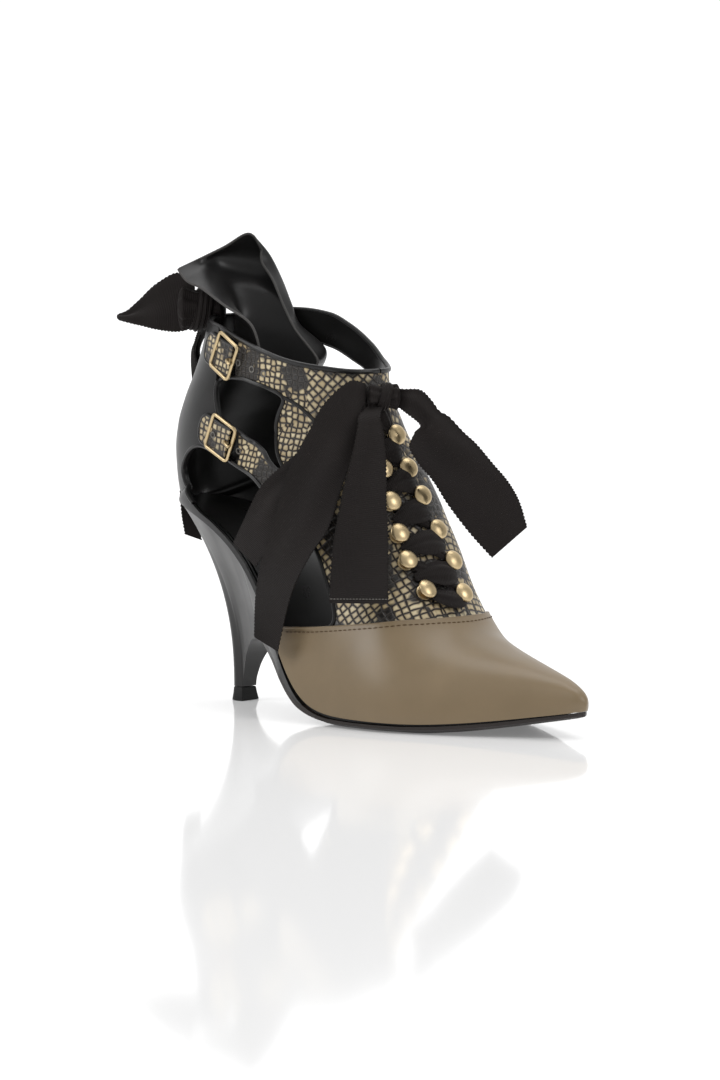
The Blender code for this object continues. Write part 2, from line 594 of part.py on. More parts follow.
def make_outsole(coll, mats):
    points = []
    for x in SOLE_STATIONS:
        yo = -sole_half(x, -1)
        yi = sole_half(x, 1)
        inset = min(7.0, 0.3 * (yi - yo))
        tread = float(smooth(TREAD_LINE, x))
        tilt = float(smooth(BOTTOM_TILT, x))
        to = yo + inset
        ti = yi - inset
        points += [(x, yo, sole_top_z(x, yo)), (x, yi, sole_top_z(x, yi)), (x, yi, sole_edge_z(x, yi)),
                   (x, ti, tread + tilt * (ti - yo)), (x, to, tread + tilt * (to - yo)),
                   (x, yo, sole_edge_z(x, yo))]
    n = len(SOLE_STATIONS)
    faces = grid_faces(n, 6, closed=True) + [tuple(range(6)), tuple(6 * (n - 1) + k for k in range(6))]
    add_object("outsole", points, faces, mats["black"], coll)


def heel_ribs(side):
    """Ribs of one side of the heel, each from the feather line down to its low edge."""
    ribs = []
    for tx, lx in WEDGE_RIBS:
        ty = side * (float(half_width(tx, side)) + 0.8)
        ly = side * sole_half(lx, side)
        ribs.append(((tx, ty, rim_z(tx, ty) - SEAT_GAP), (lx, ly, sole_top_z(lx, ly) + GAP), 1.0))
    for tx, lx, lz, half, hollow in STEM_RIBS:
        ty = side * (float(half_width(tx, side)) + (0.8 if tx > 0 else 0))
        ribs.append(((tx, ty, rim_z(tx, ty) - SEAT_GAP), (lx, side * half, lz), hollow))
    out = []
    for top, low, hollow in ribs:
        rib = []
        for k in range(RIB_STEPS + 1):
            v = k / RIB_STEPS
            g = 1 - (1 - v)**hollow
            rib.append((top[0] + (low[0] - top[0]) * g, top[1] + (low[1] - top[1]) * g,
                        top[2] + (low[2] - top[2]) * v))
        out.append(rib)
    return out


def make_heel(coll, mats):
    outer = heel_ribs(-1)
    inner = heel_ribs(1)
    ribs = outer + inner[-2::-1]
    columns = RIB_STEPS + 1
    points = [p for rib in ribs for p in rib]
    faces = grid_faces(len(ribs), columns)
    last = len(ribs) - 1
    half = len(outer) - 1
    for k in range(half):
        for edge in (0, RIB_STEPS):
            a, b, c, d = k, k + 1, last - k - 1, last - k
            ring = [a * columns + edge, b * columns + edge, c * columns + edge, d * columns + edge]
            faces.append(tuple(ring) if b != c else tuple(ring[:2] + ring[3:]))
    front = [k for k in range(columns)] + [last * columns + k for k in range(columns - 1, -1, -1)]
    faces.append(tuple(front))
    add_object("heel", points, faces, mats["black"], coll)

    tip = [rib[RIB_STEPS] for rib in outer[-4:]] + [rib[RIB_STEPS] for rib in inner[-2:-5:-1]]
    centre = np.mean([(p[0], p[1]) for p in tip], axis=0)
    points = []
    for grow, z in ((1.0, TOP_PIECE), (1.22, 0.0)):
        for x, y, _ in tip:
            points.append((centre[0] + (x - centre[0]) * grow, centre[1] + (y - centre[1]) * grow, z))
    n = len(tip)
    faces = grid_faces(2, n, closed=True) + [tuple(range(n)), tuple(range(n, 2 * n))]
    add_object("top_piece", points, faces, mats["black"], coll)


def frame_at(s, q, out, turn=0.0):
    """Placing matrix on the last: x along the shoe's side view, turned, z outward."""
    centre = to_metres(last_offset(s, q, out))
    normal = Vector(last_normal(s, q))
    along = Vector((math.cos(turn), 0, math.sin(turn)))
    along = (along - normal * along.dot(normal)).normalized()
    across = normal.cross(along)
    return Matrix.Translation(centre) @ Matrix((along, across, normal)).transposed().to_4x4()


def make_hooks(coll, mats):
    for number, (outer_row, outer_q, inner_row, inner_q) in enumerate(HOOKS, 1):
        for label, row, q in (("outer", outer_row, outer_q), ("inner", inner_row, inner_q)):
            bm = bmesh.new()
            verts = [bm.verts.new((r * MM, 0, z * MM)) for r, z in HOOK_PROFILE]
            edges = [bm.edges.new(pair) for pair in zip(verts, verts[1:])]
            bmesh.ops.spin(bm, geom=verts + edges, cent=(0, 0, 0), axis=(0, 0, 1), angle=2 * math.pi,
                           steps=HOOK_SIDES)
            bmesh.ops.remove_doubles(bm, verts=bm.verts, dist=0.00001)
            bmesh.ops.recalc_face_normals(bm, faces=bm.faces)
            mesh = bpy.data.meshes.new("hook")
            bm.to_mesh(mesh)
            bm.free()
            mesh.materials.append(mats["brass"])
            hook = bpy.data.objects.new(f"hook_{label}_{number}", mesh)
            coll.objects.link(hook)
            hook.matrix_world = frame_at(row, q, 0.5) @ Matrix.Diagonal((1.12, 1.0, 1.0, 1.0))


def make_lace(coll, mats):
    """Crossings between the two rows of hooks, one joined net on the last, thickened."""
    bm = bmesh.new()
    net = {}

    def knot_at(s, q):
        key = (round(s, 4), round(q, 4))
        if key not in net:
            net[key] = bm.verts.new((s, q, 0))
        return net[key]

    sides = [(so, lo + LACE_CLEAR, si, li - LACE_CLEAR) for so, lo, si, li in HOOKS]
    for k, ((s0, l0, t0, r0), (s1, l1, t1, r1)) in enumerate(zip(sides, sides[1:])):
        ms = (s0 + t0 + s1 + t1) / 4
        mq = (l0 + r0 + l1 + r1) / 4
        up, down = knot_at(ms + LACE_S, mq), knot_at(ms - LACE_S, mq)
        left, right = knot_at(ms, mq - LACE_Q), knot_at(ms, mq + LACE_Q)
        a1, a2 = knot_at(s0 - LACE_S, l0), knot_at(s0, l0 + LACE_Q)
        b1, b2 = knot_at(t0 - LACE_S, r0), knot_at(t0, r0 - LACE_Q)
        c1, c2 = knot_at(s1 + LACE_S, l1), knot_at(s1, l1 + LACE_Q)
        d1, d2 = knot_at(t1 + LACE_S, r1), knot_at(t1, r1 - LACE_Q)
        for ring in ((a1, a2, up, left), (b2, b1, right, up), (c2, c1, left, down), (d1, d2, down, right),
                     (up, right, down, left)):
            bm.faces.new(ring)
        if k + 2 < len(sides):
            bm.faces.new((c1, c2, knot_at(s1 - LACE_S, l1)))
            bm.faces.new((d2, d1, knot_at(t1 - LACE_S, r1)))
    bmesh.ops.recalc_face_normals(bm, faces=bm.faces)
    bmesh.ops.subdivide_edges(bm, edges=bm.edges, cuts=1, use_grid_fill=True)
    for vert in bm.verts:
        vert.co = to_metres(last_offset(vert.co.x, vert.co.y, LACE_OUT))
    mesh = bpy.data.meshes.new("lace")
    bm.to_mesh(mesh)
    bm.free()
    mesh.materials.append(mats["ribbon"])
    lace = bpy.data.objects.new("lace", mesh)
    coll.objects.link(lace)
    add_solidify(lace, 1.0, 0.0)


def make_buckles(coll, cutters, mats):
    for label, x, z, turn in BUCKLES:
        s, q = find_on_last(x, z, -1)
        place = frame_at(s, q, GAP + OVERLAY + 1.5, math.radians(turn))
        bm = bmesh.new()
        bmesh.ops.create_cube(bm, size=1.0)
        bmesh.ops.scale(bm, verts=bm.verts, vec=(BUCKLE_WIDTH * MM, BUCKLE_HEIGHT * MM, BUCKLE_WIRE * MM))
        mesh = bpy.data.meshes.new("buckle")
        bm.to_mesh(mesh)
        bm.free()
        mesh.materials.append(mats["brass"])
        frame = bpy.data.objects.new(f"buckle_{label}", mesh)
        coll.objects.link(frame)
        frame.matrix_world = place
        hole = bpy.data.meshes.new("hole")
        bm = bmesh.new()
        bmesh.ops.create_cube(bm, size=1.0)
        inside = 2 * BUCKLE_WIRE
        bmesh.ops.scale(bm, verts=bm.verts, vec=((BUCKLE_WIDTH - inside) * MM, (BUCKLE_HEIGHT - inside) * MM,
                                                 4 * BUCKLE_WIRE * MM))
        bm.to_mesh(hole)
        bm.free()
        cutter = bpy.data.objects.new(f"cut_buckle_{label}", hole)
        cutter.display_type = "WIRE"
        cutter.hide_render = True
        cutters.objects.link(cutter)
        cutter.matrix_world = place
        add_boolean(frame, cutter)
        bevel = frame.modifiers.new("edge", "BEVEL")
        bevel.width = 0.5 * MM
        bevel.segments = 1
        bm = bmesh.new()
        bmesh.ops.create_cube(bm, size=1.0)
        bmesh.ops.scale(bm, verts=bm.verts, vec=(15.0 * MM, 1.8 * MM, 1.4 * MM))
        mesh = bpy.data.meshes.new("prong")
        bm.to_mesh(mesh)
        bm.free()
        mesh.materials.append(mats["brass"])
        prong = bpy.data.objects.new(f"prong_{label}", mesh)
        coll.objects.link(prong)
        lift = BUCKLE_WIRE / 2 + GAP + 0.7
        prong.matrix_world = place @ Matrix.Translation((0, 0, lift * MM))


def make_strap_tips(coll, mats):
    for label, x0, z0, x1, z1 in STRAP_TIPS:
        along = np.array([x1 - x0, z1 - z0])
        across = np.array([-along[1], along[0]]) / np.linalg.norm(along) * STRAP_WIDTH / 2
        left = []
        right = []
        for f in np.linspace(0, 1, 5):
            for rail, sign in ((left, 1), (right, -1)):
                x, z = np.array([x0, z0]) + along * f + sign * across * (1 if f < 1 else 0.6)
                s, q = find_on_last(x, z, -1)
                rail.append(last_offset(s, q, GAP * 2 + OVERLAY + 0.6))
        add_strip(f"strap_tip_{label}", left, right, 1.0, mats["python"], coll)


def make_ribbon(name, table, mats, coll):
    rows = np.array(table, float)
    left = rounded(rows[:, :3], closed=False, steps=2)
    right = rounded(rows[:, 3:], closed=False, steps=2)
    add_strip(name, left, right, RIBBON_THICK, mats["ribbon"], coll)


def make_knot(name, at, size, mats, coll):
    bm = bmesh.new()
    bmesh.ops.create_icosphere(bm, subdivisions=2, radius=1.0)
    mesh = bpy.data.meshes.new(name)
    bm.to_mesh(mesh)
    bm.free()
    mesh.materials.append(mats["ribbon"])
    knot = bpy.data.objects.new(name, mesh)
    coll.objects.link(knot)
    knot.matrix_world = Matrix.Translation(to_metres(at)) @ Matrix.Diagonal([v * MM for v in size] + [1.0])


def make_flounce(coll, mats):
    rows = np.array(FLOUNCE_ROWS, float).reshape(-1, 4, 3)
    across = np.array([rounded(row, closed=False, steps=3) for row in rows])
    along = np.array([rounded(across[:, k], closed=False, steps=2) for k in range(across.shape[1])])
    count = along.shape[1]
    points = along.transpose(1, 0, 2).reshape(-1, 3)
    faces = grid_faces(count, along.shape[0])
    flounce = add_object("flounce", points, faces, mats["black"], coll, outward=False)
    add_solidify(flounce, FLOUNCE_THICK, 0.0)


def main():
    clear_file()
    shoe = new_collection("lace_up_ankle_shoe")
    cutters = new_collection("cutters", hidden=True)
    mats = {
        "black": material("black_leather", LEATHER_BLACK, 0.0, 0.35),
        "tan": material("tan_leather", LEATHER_TAN, 0.0, 0.4),
        "python": material("python_leather", PYTHON, 0.0, 0.4),
        "ribbon": material("ribbon", RIBBON_BLACK, 0.0, 0.8),
        "brass": material("brass", BRASS, 1.0, 0.3),
    }
    cut = make_cutters(cutters)
    make_upper(shoe, cut, mats)
    make_toe_cap(shoe, cut, mats)
    make_counter(shoe, cut, mats)
    make_insole(shoe, mats)
    make_outsole(shoe, mats)
    make_heel(shoe, mats)
    make_hooks(shoe, mats)
    make_lace(shoe, mats)
    make_buckles(shoe, cutters, mats)
    make_strap_tips(shoe, mats)
    for name, table in (("tail_a", TAIL_A), ("tail_b", TAIL_B), ("tail_c", TAIL_C), ("tail_d", TAIL_D),
                        ("back_loop", BACK_LOOP), ("back_tail_1", BACK_TAIL_1), ("back_tail_2", BACK_TAIL_2)):
        make_ribbon(name, table, mats, shoe)
    make_knot("front_knot", KNOT_AT, KNOT_SIZE, mats, shoe)
    make_knot("back_knot", BACK_KNOT_AT, BACK_KNOT_SIZE, mats, shoe)
    make_flounce(shoe, mats)


main()
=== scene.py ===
"""Looks of the pointed lace-up ankle shoe: leathers, ribbons, hooks, buckles, camera and studio.

Sizes are in millimetres with x counted from the back of the heel, as in the CAD source, and go to the
frame's metres in to_metres. Pieces lie on the same last as the CAD solids.
"""
import math

import bpy
import numpy as np
from mathutils import Matrix, Vector


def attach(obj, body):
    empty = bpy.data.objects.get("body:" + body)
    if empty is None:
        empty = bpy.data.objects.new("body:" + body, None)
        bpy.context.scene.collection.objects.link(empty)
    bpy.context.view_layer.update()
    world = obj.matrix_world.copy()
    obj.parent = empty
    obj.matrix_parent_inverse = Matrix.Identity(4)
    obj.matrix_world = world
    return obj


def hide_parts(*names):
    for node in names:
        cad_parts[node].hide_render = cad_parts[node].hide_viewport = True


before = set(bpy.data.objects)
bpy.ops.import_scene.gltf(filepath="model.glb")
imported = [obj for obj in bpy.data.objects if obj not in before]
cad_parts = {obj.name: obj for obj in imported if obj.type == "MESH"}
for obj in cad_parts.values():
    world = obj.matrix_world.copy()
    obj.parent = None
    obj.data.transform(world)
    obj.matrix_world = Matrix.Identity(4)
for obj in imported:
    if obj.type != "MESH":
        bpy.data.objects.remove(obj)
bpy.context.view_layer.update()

MM = 0.001
LENGTH = 235.0            # of the last, from heel to toe
SEAT_HEIGHT = 91.0        # feather line above the floor at the back
BALL_X = 147.0            # back of the heel to the frame's origin
WALL = 1.6                # upper and lining together
OVERLAY = 1.3             # outer face of the toe cap and the counter above the last
UNDERLAP = 5.0            # how far the upper runs on under the toe cap and the counter
SOLE_MARGIN = 0.7         # outsole beyond the feather line
SOLE_END = 236.0
SHANK_SOLE = 2.4          # thickness along the shank
TREAD_INSET = 7.0         # width of the sole's rounded edge
INSOLE_THICK = 2.0
INSOLE_INSET = 3.5
INSOLE_LIFT = 0.3
SEAT_GAP = 0.15           # between the last's bottom and what it stands on
RIM = 3.2                 # black edge between the open waist and the heel
TOP_PIECE = 6.2           # height of the heel's lift
STRAP_WIDTH = 13.5
TIP_TUCK = 2.6            # how far the toe's tip draws back towards the sole
TUCK_FROM = 224.0         # x where that begins
TUCK_HEIGHT = 7.0         # height above the feather line where it ends
COLLAR_HALF = 24.0        # half width over which the collar goes from its outer to its inner height

# Feather line above the floor: x, z.
BOTTOM_LINE = [
    (0, SEAT_HEIGHT), (16, 88), (35, 81.5), (53, 70.5), (67, 58.5), (81, 41), (95, 22.5), (107, 11.4),
    (117, 6.4), (127, 4), (138, 3.2), (160, 3.2), (176, 3.9), (196, 6), (216, 9.1), (LENGTH, 12.4),
]
# Slope of the bottom across the shoe, up to the inner side: x, rise per millimetre.
BOTTOM_TILT = [(0, 0), (50, 0), (67, 0.05), (81, 0.09), (95, 0.1), (107, 0.07), (120, 0.03), (136, 0),
               (LENGTH, 0)]
# Feather outline: x, outer half width, inner half width.
OUTLINE = [
    (0, 0, 0), (2, 8, 8), (8, 15.5, 15.5), (18, 20.7, 20.5), (33, 24.2, 23.5), (52, 25, 23),
    (70, 27.5, 20.5), (88, 32.5, 19.5), (107, 37, 22.5), (124, 38.5, 28), (139, 38, 34.5), (149, 37, 37.5),
    (160, 34, 38.3), (172, 29, 36.5), (188, 20.5, 30.5), (204, 11, 23.5), (218, 2.5, 16.5), (228, -2.5, 12),
    (233, -5, 9.5), (LENGTH, -7, 7),
]
# Sections of the last from the toe to the heel seat, each in a plane through its bottom and its top:
# bottom x, top x, top z, ridge y, outer bulge, inner bulge, height of the bulge, outer crown, inner crown.
FOOT_SECTIONS = [
    (LENGTH, 234.3, 15.5, 7, 0, 0, 0.5, 0, 0),
    (232.5, 231.3, 19.4, 7, 0.4, 0.4, 0.6, 3, 2.2),
    (226, 223, 23.5, 8, 0.8, 0.8, 0.6, 6, 5),
    (214, 209, 27.5, 9, 1.2, 1.2, 0.6, 11, 8.5),
    (198, 192, 31.9, 10, 1.6, 1.6, 0.58, 18, 13),
    (182, 177, 36.2, 11, 2, 2, 0.56, 24, 17.5),
    (167, 165, 41.4, 11, 2.2, 2, 0.54, 29, 22.5),
    (153, 157, 50, 11.5, 2.2, 1.8, 0.52, 30.5, 27),
    (140, 151, 59.6, 12.5, 1, 1.8, 0.5, 31.5, 29),
    (128, 145, 70, 13.5, -1, 3, 0.48, 31.5, 31.5),
    (116, 139.5, 80.5, 14, -3, 6, 0.46, 31, 35),
    (103, 133.5, 91.5, 14, -3, 9, 0.44, 31.5, 35),
    (89, 128.5, 102.5, 13.5, 0, 11, 0.42, 32.5, 34),
    (73, 123.5, 112.5, 12, 3, 11, 0.4, 33, 32),
    (56, 119.5, 121.5, 10.5, 6, 11, 0.36, 33.5, 31.5),
    (40, 117.3, 128.3, 9, 7.5, 10, 0.3, 34, 31.5),
    (26, 116.2, 133.7, 8, 9, 10, 0.24, 36, 32),
    (14, 115.4, 138.2, 6.8, 12, 12, 0.17, 36.8, 32.5),
    (5, 114.9, 142.2, 6, 18, 18, 0.09, 37.5, 33),
]
# Sections round the ankle, closed at the back:
# back x, back z, front x, front z, ridge y, back roundness, outer crown, inner crown.
ANKLE_SECTIONS = [
    (0, SEAT_HEIGHT, 114.7, 145, 5.2, 36, 37, 33.5),
    (-2.5, 101, 114.3, 147.5, 4.6, 37, 36.5, 34),
    (-3, 112, 114, 150, 4.2, 38, 37, 35),
    (-1, 124, 113.6, 152.5, 4, 38.5, 37, 36),
    (4, 136, 113.5, 155, 3.5, 38.5, 38, 36),
    (10.5, 148, 113.4, 158, 3.5, 38, 38, 36),
    (16.5, 161, 113.4, 162, 3, 38, 38, 37),
    (20.5, 176, 113.6, 168, 3, 38, 38, 37),
    (22.5, 200, 114.5, 180, 3, 38, 38, 37),
]
SEAT_ROW = len(FOOT_SECTIONS)
LAST_ROW = len(FOOT_SECTIONS) + len(ANKLE_SECTIONS) - 1
# Top edge of the collar: x, z on the outer side, z on the inner side.
COLLAR_LINE = [
    (-30, 174, 174), (20, 173.5, 174.5), (30, 172, 177), (43, 170, 176.8), (58, 165.2, 174.9),
    (70, 161.2, 170.2), (86, 156.2, 162), (99, 153.8, 155.2), (113, 152, 152.4), (140, 152, 152.4),
]
# Window between the two straps, on each side: x, z.
WINDOW_OUTER = [
    (43.6, 146.3), (57.4, 148.2), (66, 146.6), (73.7, 144.3), (81, 140), (78, 133), (76.5, 127), (77.2, 121),
    (79.5, 114.5), (82.8, 108.8), (79.8, 108), (74.5, 111.6), (69, 117), (59.4, 121.5), (50, 127),
    (43.6, 131.5),
]
WINDOW_INNER = [
    (43.6, 161.5), (57.8, 161.2), (72.9, 155.6), (86, 149.3), (82, 139), (78, 130), (77, 121.7),
    (79, 115), (74.3, 113.8), (69, 118), (59.4, 121.5), (50, 127), (43.6, 131.5),
]
# Light and dark places of the snake skin on the outer side: x, z, radius, lighter or darker.
PATCHES = [
    (60, 154, 9, -0.2), (74, 150, 7, 0.16), (88, 148, 5.5, -0.2), (99, 143, 7, 0.16), (110, 138, 8, -0.2),
    (84, 124, 14, 0.2), (46, 122, 9, 0.02), (60, 113, 9, 0.14), (72, 105, 6, -0.1), (128, 90, 18, -0.05),
    (132, 52, 10, 0.16), (150, 56, 6, -0.12), (152, 50, 5, 0.14),
]
PATCH_LIMIT_Y = 8.0       # patches end here, past the ridge
DIAMONDS_FROM = 91.0      # pattern coordinate where small scales change to diamonds
# Lower edge of the upper strap where it runs on over the wing in front of the window.
WING_SEAM = [(80.6, 140.6), (85, 138.6), (89, 136), (93.6, 132), (98, 128.6)]
# Open waist below the lower strap, from the seat up the counter and forward to the toe cap: x, z.
WAIST_FRONT = [
    (72.4, 99.4), (78, 95.5), (86, 91), (94, 85), (101, 78.5), (106, 72.5), (110.5, 64.5), (116.4, 54),
    (119.6, 46.5), (118, 42.3), (110, 40.7), (100, 40), (93, 39.4), (90.2, 35.5),
]
WAIST_EDGE = [
    (24, 90.4), (18.2, 94.2), (14, 99), (12.4, 104.8), (16, 110.5), (22, 115), (30, 116.9), (40, 114.3),
    (50.9, 110.2), (64.3, 105.4),
] + WAIST_FRONT
WAIST_EDGE_INNER = [(40, 85.5), (38.5, 92), (40.5, 99), (46, 104), (54, 106.2), (64.3, 104.4)] + WAIST_FRONT
WAIST_RIM_X = (86, 78, 70, 62, 54, 46, 38, 30)    # and back along the rim
# Short back edge and top edge of the toe cap: x, z.
CAP_EDGE = [
    (88.6, 12), (89.6, 34), (91, 40.2), (100, 40.8), (110, 41.5), (120, 42.5), (130, 43.6), (142, 45),
    (152, 46.4), (160, 46.6), (168, 45.6), (186, 43),
]
CAP_CORNER = CAP_EDGE[2]      # where the cap's back edge meets its top edge
CAP_DENT = (103, 33, 9, 5, 0.9)   # soft hollow near the cap's back edge: x, z, width, height, depth
CAP_STITCH_INSET = 2.1
COUNTER_FRONT = 43.2      # front edge of the counter leather, x
# Bottom edge of the outsole on the outer side, the tread inside it, and half the shank: x, z or half width.
SOLE_LINE = [(58, 31.3), (64, 31), (72, 28.8), (80, 25.2), (88, 18.5), (95.5, 11.8), (104, 6.6), (113, 3.7),
             (124, 2.1), (138, 1.7), (160, 1.7), (176, 2.3), (196, 4.4), (216, 7.5), (SOLE_END, 10.9)]
TREAD_LINE = [(58, 30.9), (64, 30.6), (72, 28.3), (80, 24.6), (88, 17.7), (95.5, 10.8), (104, 5.2), (113, 1.8),
              (122, 0.3), (130, 0), (168, 0), (180, 0.8), (196, 3), (216, 6.5), (SOLE_END, 10.2)]
SHANK_HALF = [(58, 16), (64, 20), (72, 25), (80, 29.5), (88, 33), (95, 36.2), (104, 39), (SOLE_END, 60)]
WEDGE_FULL = 112.0        # the sole's top meets the last from here on
WEDGE_THIN = 103.0        # and is a thin strip below the heel's wing up to here
# Ribs of the heel: number, top x, low x, low z (0 where it follows the outsole), low half width, hollow.
HEEL_RIBS = [
    (0, 108, 108, 0, 0, 1), (1, 104, 104, 0, 0, 1), (2, 100, 100, 0, 0, 1), (3, 92, 92, 0, 0, 1),
    (4, 84, 84, 0, 0, 1), (5, 75.5, 76, 0, 0, 1), (6, 67, 68, 0, 0, 1), (7, 60, 61, 0, 0, 1),
    (8, 57, 57.97, 0, 0, 1.2), (9, 55.5, 57.92, 31.2, 15.9, 1.3), (10, 49, 51, 30.3, 12.5, 1.5),
    (11, 43, 45.5, 27.6, 9.5, 1.65), (12, 36, 41, 23, 7, 1.8), (13, 29, 37.5, 16, 5, 1.95),
    (14, 22, 35.6, 9.5, 4.3, 2.1), (15, 15, 35, 6.5, 4.4, 2.2), (16, 8, 31.5, 6.5, 4.6, 2.25),
    (17, 3, 28.8, 6.5, 3.4, 2.3), (18, 0, 28, 6.5, 0, 2.3),
]
BREAST_RIB = 8            # last rib that stands on the outsole
BREAST_NEXT = 8.2         # first place behind the breast
BLOCK_RIB = 9             # first rib with a low edge of its own
BREAST_ROUND = 2.6        # height of the rounded edge behind the breast
# Hooks: row and place on the last of the outer and of the inner one of each pair.
HOOKS = [
    (14.3, -0.165, 14.3, -0.02), (12.95, -0.165, 12.65, -0.035), (11.75, -0.195, 11.5, -0.02),
    (10.6, -0.22, 10.15, 0), (9.55, -0.235, 8.9, 0.03), (8.1, -0.195, 7.55, 0.03),
]
# Turned profiles of a hook: radius and height above the leather.
HOOK_BASE = [(0.2, 0), (3.3, 0), (3.7, 0.25), (3.6, 0.6), (2.9, 0.85), (2, 0.85), (1.5, 1.2), (1.4, 2.4),
             (1.6, 3.3), (0.2, 3.4)]
HOOK_DOME = [(0.1, 3), (3.5, 3.05), (4.3, 3.15), (4.6, 3.4), (4.55, 3.7), (4.1, 4.15), (3.2, 4.65), (2.1, 5),
             (0.9, 5.2), (0.05, 5.24)]
# Buckles: name, x, z and turn in degrees.
BUCKLES = [("upper", 49.4, 157.8, -27), ("lower", 45.8, 121.5, -28)]
BUCKLE_HALF = (7.5, 8.3)
BUCKLE_CORNER = 1.8
BUCKLE_WIRE = 0.85
PRONG = [(3.2, 0, -0.6), (4.2, 0, 0.5), (5.6, 0, 1.1), (7.0, 0, 1.35), (8.2, 0, 1.3)]
# Strap tips: name, x and z of the start and of the end.
STRAP_TIPS = [("upper", 54, 155.6, 33.5, 162.2), ("lower", 50, 119, 32, 126)]
# Holes in the straps: x, z and height above the upper.
STRAP_HOLES = [(56.8, 154.9, 0), (65.2, 152.4, 0), (72, 150.6, 0), (41.5, 122.6, 2.4), (54.5, 115.6, 0)]
HOLE_RADIUS = 1.25
# Ribbons: x, y, z of one edge and of the other, row by row.
TAIL_A = [
    (115.9, -6.2, 147, 116.3, -6.2, 141), (115, -16, 148, 118.4, -12.2, 135),
    (106.5, -22.5, 138, 119, -14, 124), (102, -27, 126, 119, -20, 112), (95, -32, 110, 118, -25, 100),
    (89.5, -34.5, 91, 116, -30, 85), (83, -36, 74, 110, -35, 73), (79.5, -37.5, 56, 104, -40, 57),
    (84, -43, 36, 97, -42, 31),
]
TAIL_B = [
    (117, -4.5, 137.8, 122, -2, 137.8), (120, -14, 133.5, 126, -8, 133.5), (122, -17, 128, 128, -8, 127),
    (123, -22, 115, 131, -9, 114), (123, -27, 101, 135, -13, 99), (124, -33, 82, 140, -17, 83),
    (125, -36, 68, 146, -23, 68), (127, -39, 54, 152, -29, 55),
]
TAIL_C = [
    (97.4, -27.8, 118, 107.4, -23.2, 113), (85.6, -31.6, 108, 99.4, -28.4, 103), (78, -34, 100, 92, -32, 93),
    (68, -34, 86, 85, -34, 78), (60, -33, 75, 75, -34, 66),
]
TAIL_D = [
    (123, 3.3, 146.3, 123, 3.3, 141.3), (126.5, 5.5, 144.6, 125, 4, 138), (135, 8, 144.5, 131.5, 4.5, 134.3),
    (140, 10, 140, 136.5, 6.5, 130.5), (143, 12, 135.5, 138, 6, 128), (146, 15, 133, 136.5, 2.5, 124.5),
    (150, 19, 127, 136, 1, 119.8), (155, 23, 121, 139, 3.5, 113), (160.5, 27.5, 112.5, 144, 8, 105),
    (165.5, 31.5, 105, 149, 12, 95), (170, 34, 96.5, 156, 18, 83), (173, 36, 85, 163, 25, 72),
]
BACK_LOOP = [
    (10, -9.5, 187, 10, -9.5, 169), (2, -12, 193, 3, -14, 167), (-7, -17, 188, -4, -20, 168),
    (-14.5, -20.5, 180.5, -10.5, -24.5, 170), (-19.5, -23.5, 175.5, -15, -28, 171.5),
    (-22.8, -26.8, 173.6, -18.6, -30.6, 172.6), (-22.2, -22.7, 173.4, -19.3, -25.3, 171.8),
    (-17.5, -16.5, 177, -14.5, -19.5, 171), (-6.5, -10.5, 182, -4.5, -12.5, 172.3),
    (8, -6.5, 179, 8, -6.5, 173),
]
BACK_TAIL_1 = [
    (11.5, -7.5, 169.1, 14, -2.5, 169.1), (0, -2, 158, -2, 4, 158), (-4, 3, 143, -6, 9, 143),
    (-6.5, 4.5, 131, -7.5, 10.5, 131), (-9, 3, 112, -9, 11, 112), (-10.5, 0.5, 97, -9.5, 9.5, 95),
    (-9, -0.5, 84, -5.5, 6.5, 82), (-6, -1, 73, -1, 4, 70.5),
]
BACK_TAIL_2 = [
    (15, 0, 171.5, 11.6, -0.4, 171.5), (0.5, 7.5, 156, -3.5, 12.5, 156), (-6.5, 11.5, 144, -10.5, 16.5, 144),
    (-10.5, 11.5, 130, -13.5, 16.5, 130),
]
# Name, edges, how it is held, what it rests on, depth of its folds, and distance of its hem from the end.
RIBBONS = [
    ("tail_a", TAIL_A, "hung", "front_knot", 0.5, 0), ("tail_b", TAIL_B, "hung", "front_knot", 0.4, 2.4),
    ("tail_c", TAIL_C, "hung", "tail_a", 0.5, 0), ("tail_d", TAIL_D, "hung", "front_knot", 1.1, 0),
    ("back_loop", BACK_LOOP, "folded", "back_knot", 0.6, 0),
    ("back_tail_1", BACK_TAIL_1, "hung", "back_knot", 2.3, 0),
    ("back_tail_2", BACK_TAIL_2, "hung", "back_knot", 3.0, 0),
]
RIBBON_STEP = 0.45        # distance of the rows of a ribbon's mesh
PICOT = (0.55, 1.7)       # height and pitch of the picots along a ribbon's edges
# Knots: name, middle, and half sizes along the ribbon, outward and up.
KNOTS = [("front_knot", (121, 0, 141.4), (7.2, 5.2, 6.6)), ("back_knot", (13, -8, 177.5), (11, 6.4, 11))]
# Flounce: x, y, z of four points from the outer edge to the inner, row by row upwards.
FLOUNCE_ROWS = [
    (68, -23.4, 148, 30, 0, 150, 56, 21, 150, 66, 11, 151),
    (67.5, -23.6, 159, 27, 0, 163, 57, 23.5, 160.5, 66, 13, 156),
    (62, -24, 172, 27, 1, 176, 45, 20, 171, 52, 13.5, 168),
    (45, -24, 180, 20, 3, 187, 40, 20, 180, 43, 15, 178),
    (27, -21, 187, 12, 4, 195, 30, 23.5, 191, 34, 16.5, 190),
    (14, -18, 190, 11, 4, 201, 26, 20, 202, 28, 15.5, 198),
    (5, -15, 195, 15, 3, 204.5, 25, 10, 211, 27, 16, 204),
]
# Camera, as fitted to the photo: place in metres, degrees, millimetres and pixels.
CAMERA_AT = (1.32587, -1.36662, 0.25347)
CAMERA_AZIMUTH = 45.0
CAMERA_PITCH = 5.2
SENSOR = 36.0
FOCAL_PIXELS = 4400.0
PHOTO_HEIGHT = 1080.0
RIGHT = (0.7071, 0.7071, 0.0)     # to the right in the photo


# The last, as in the CAD source.

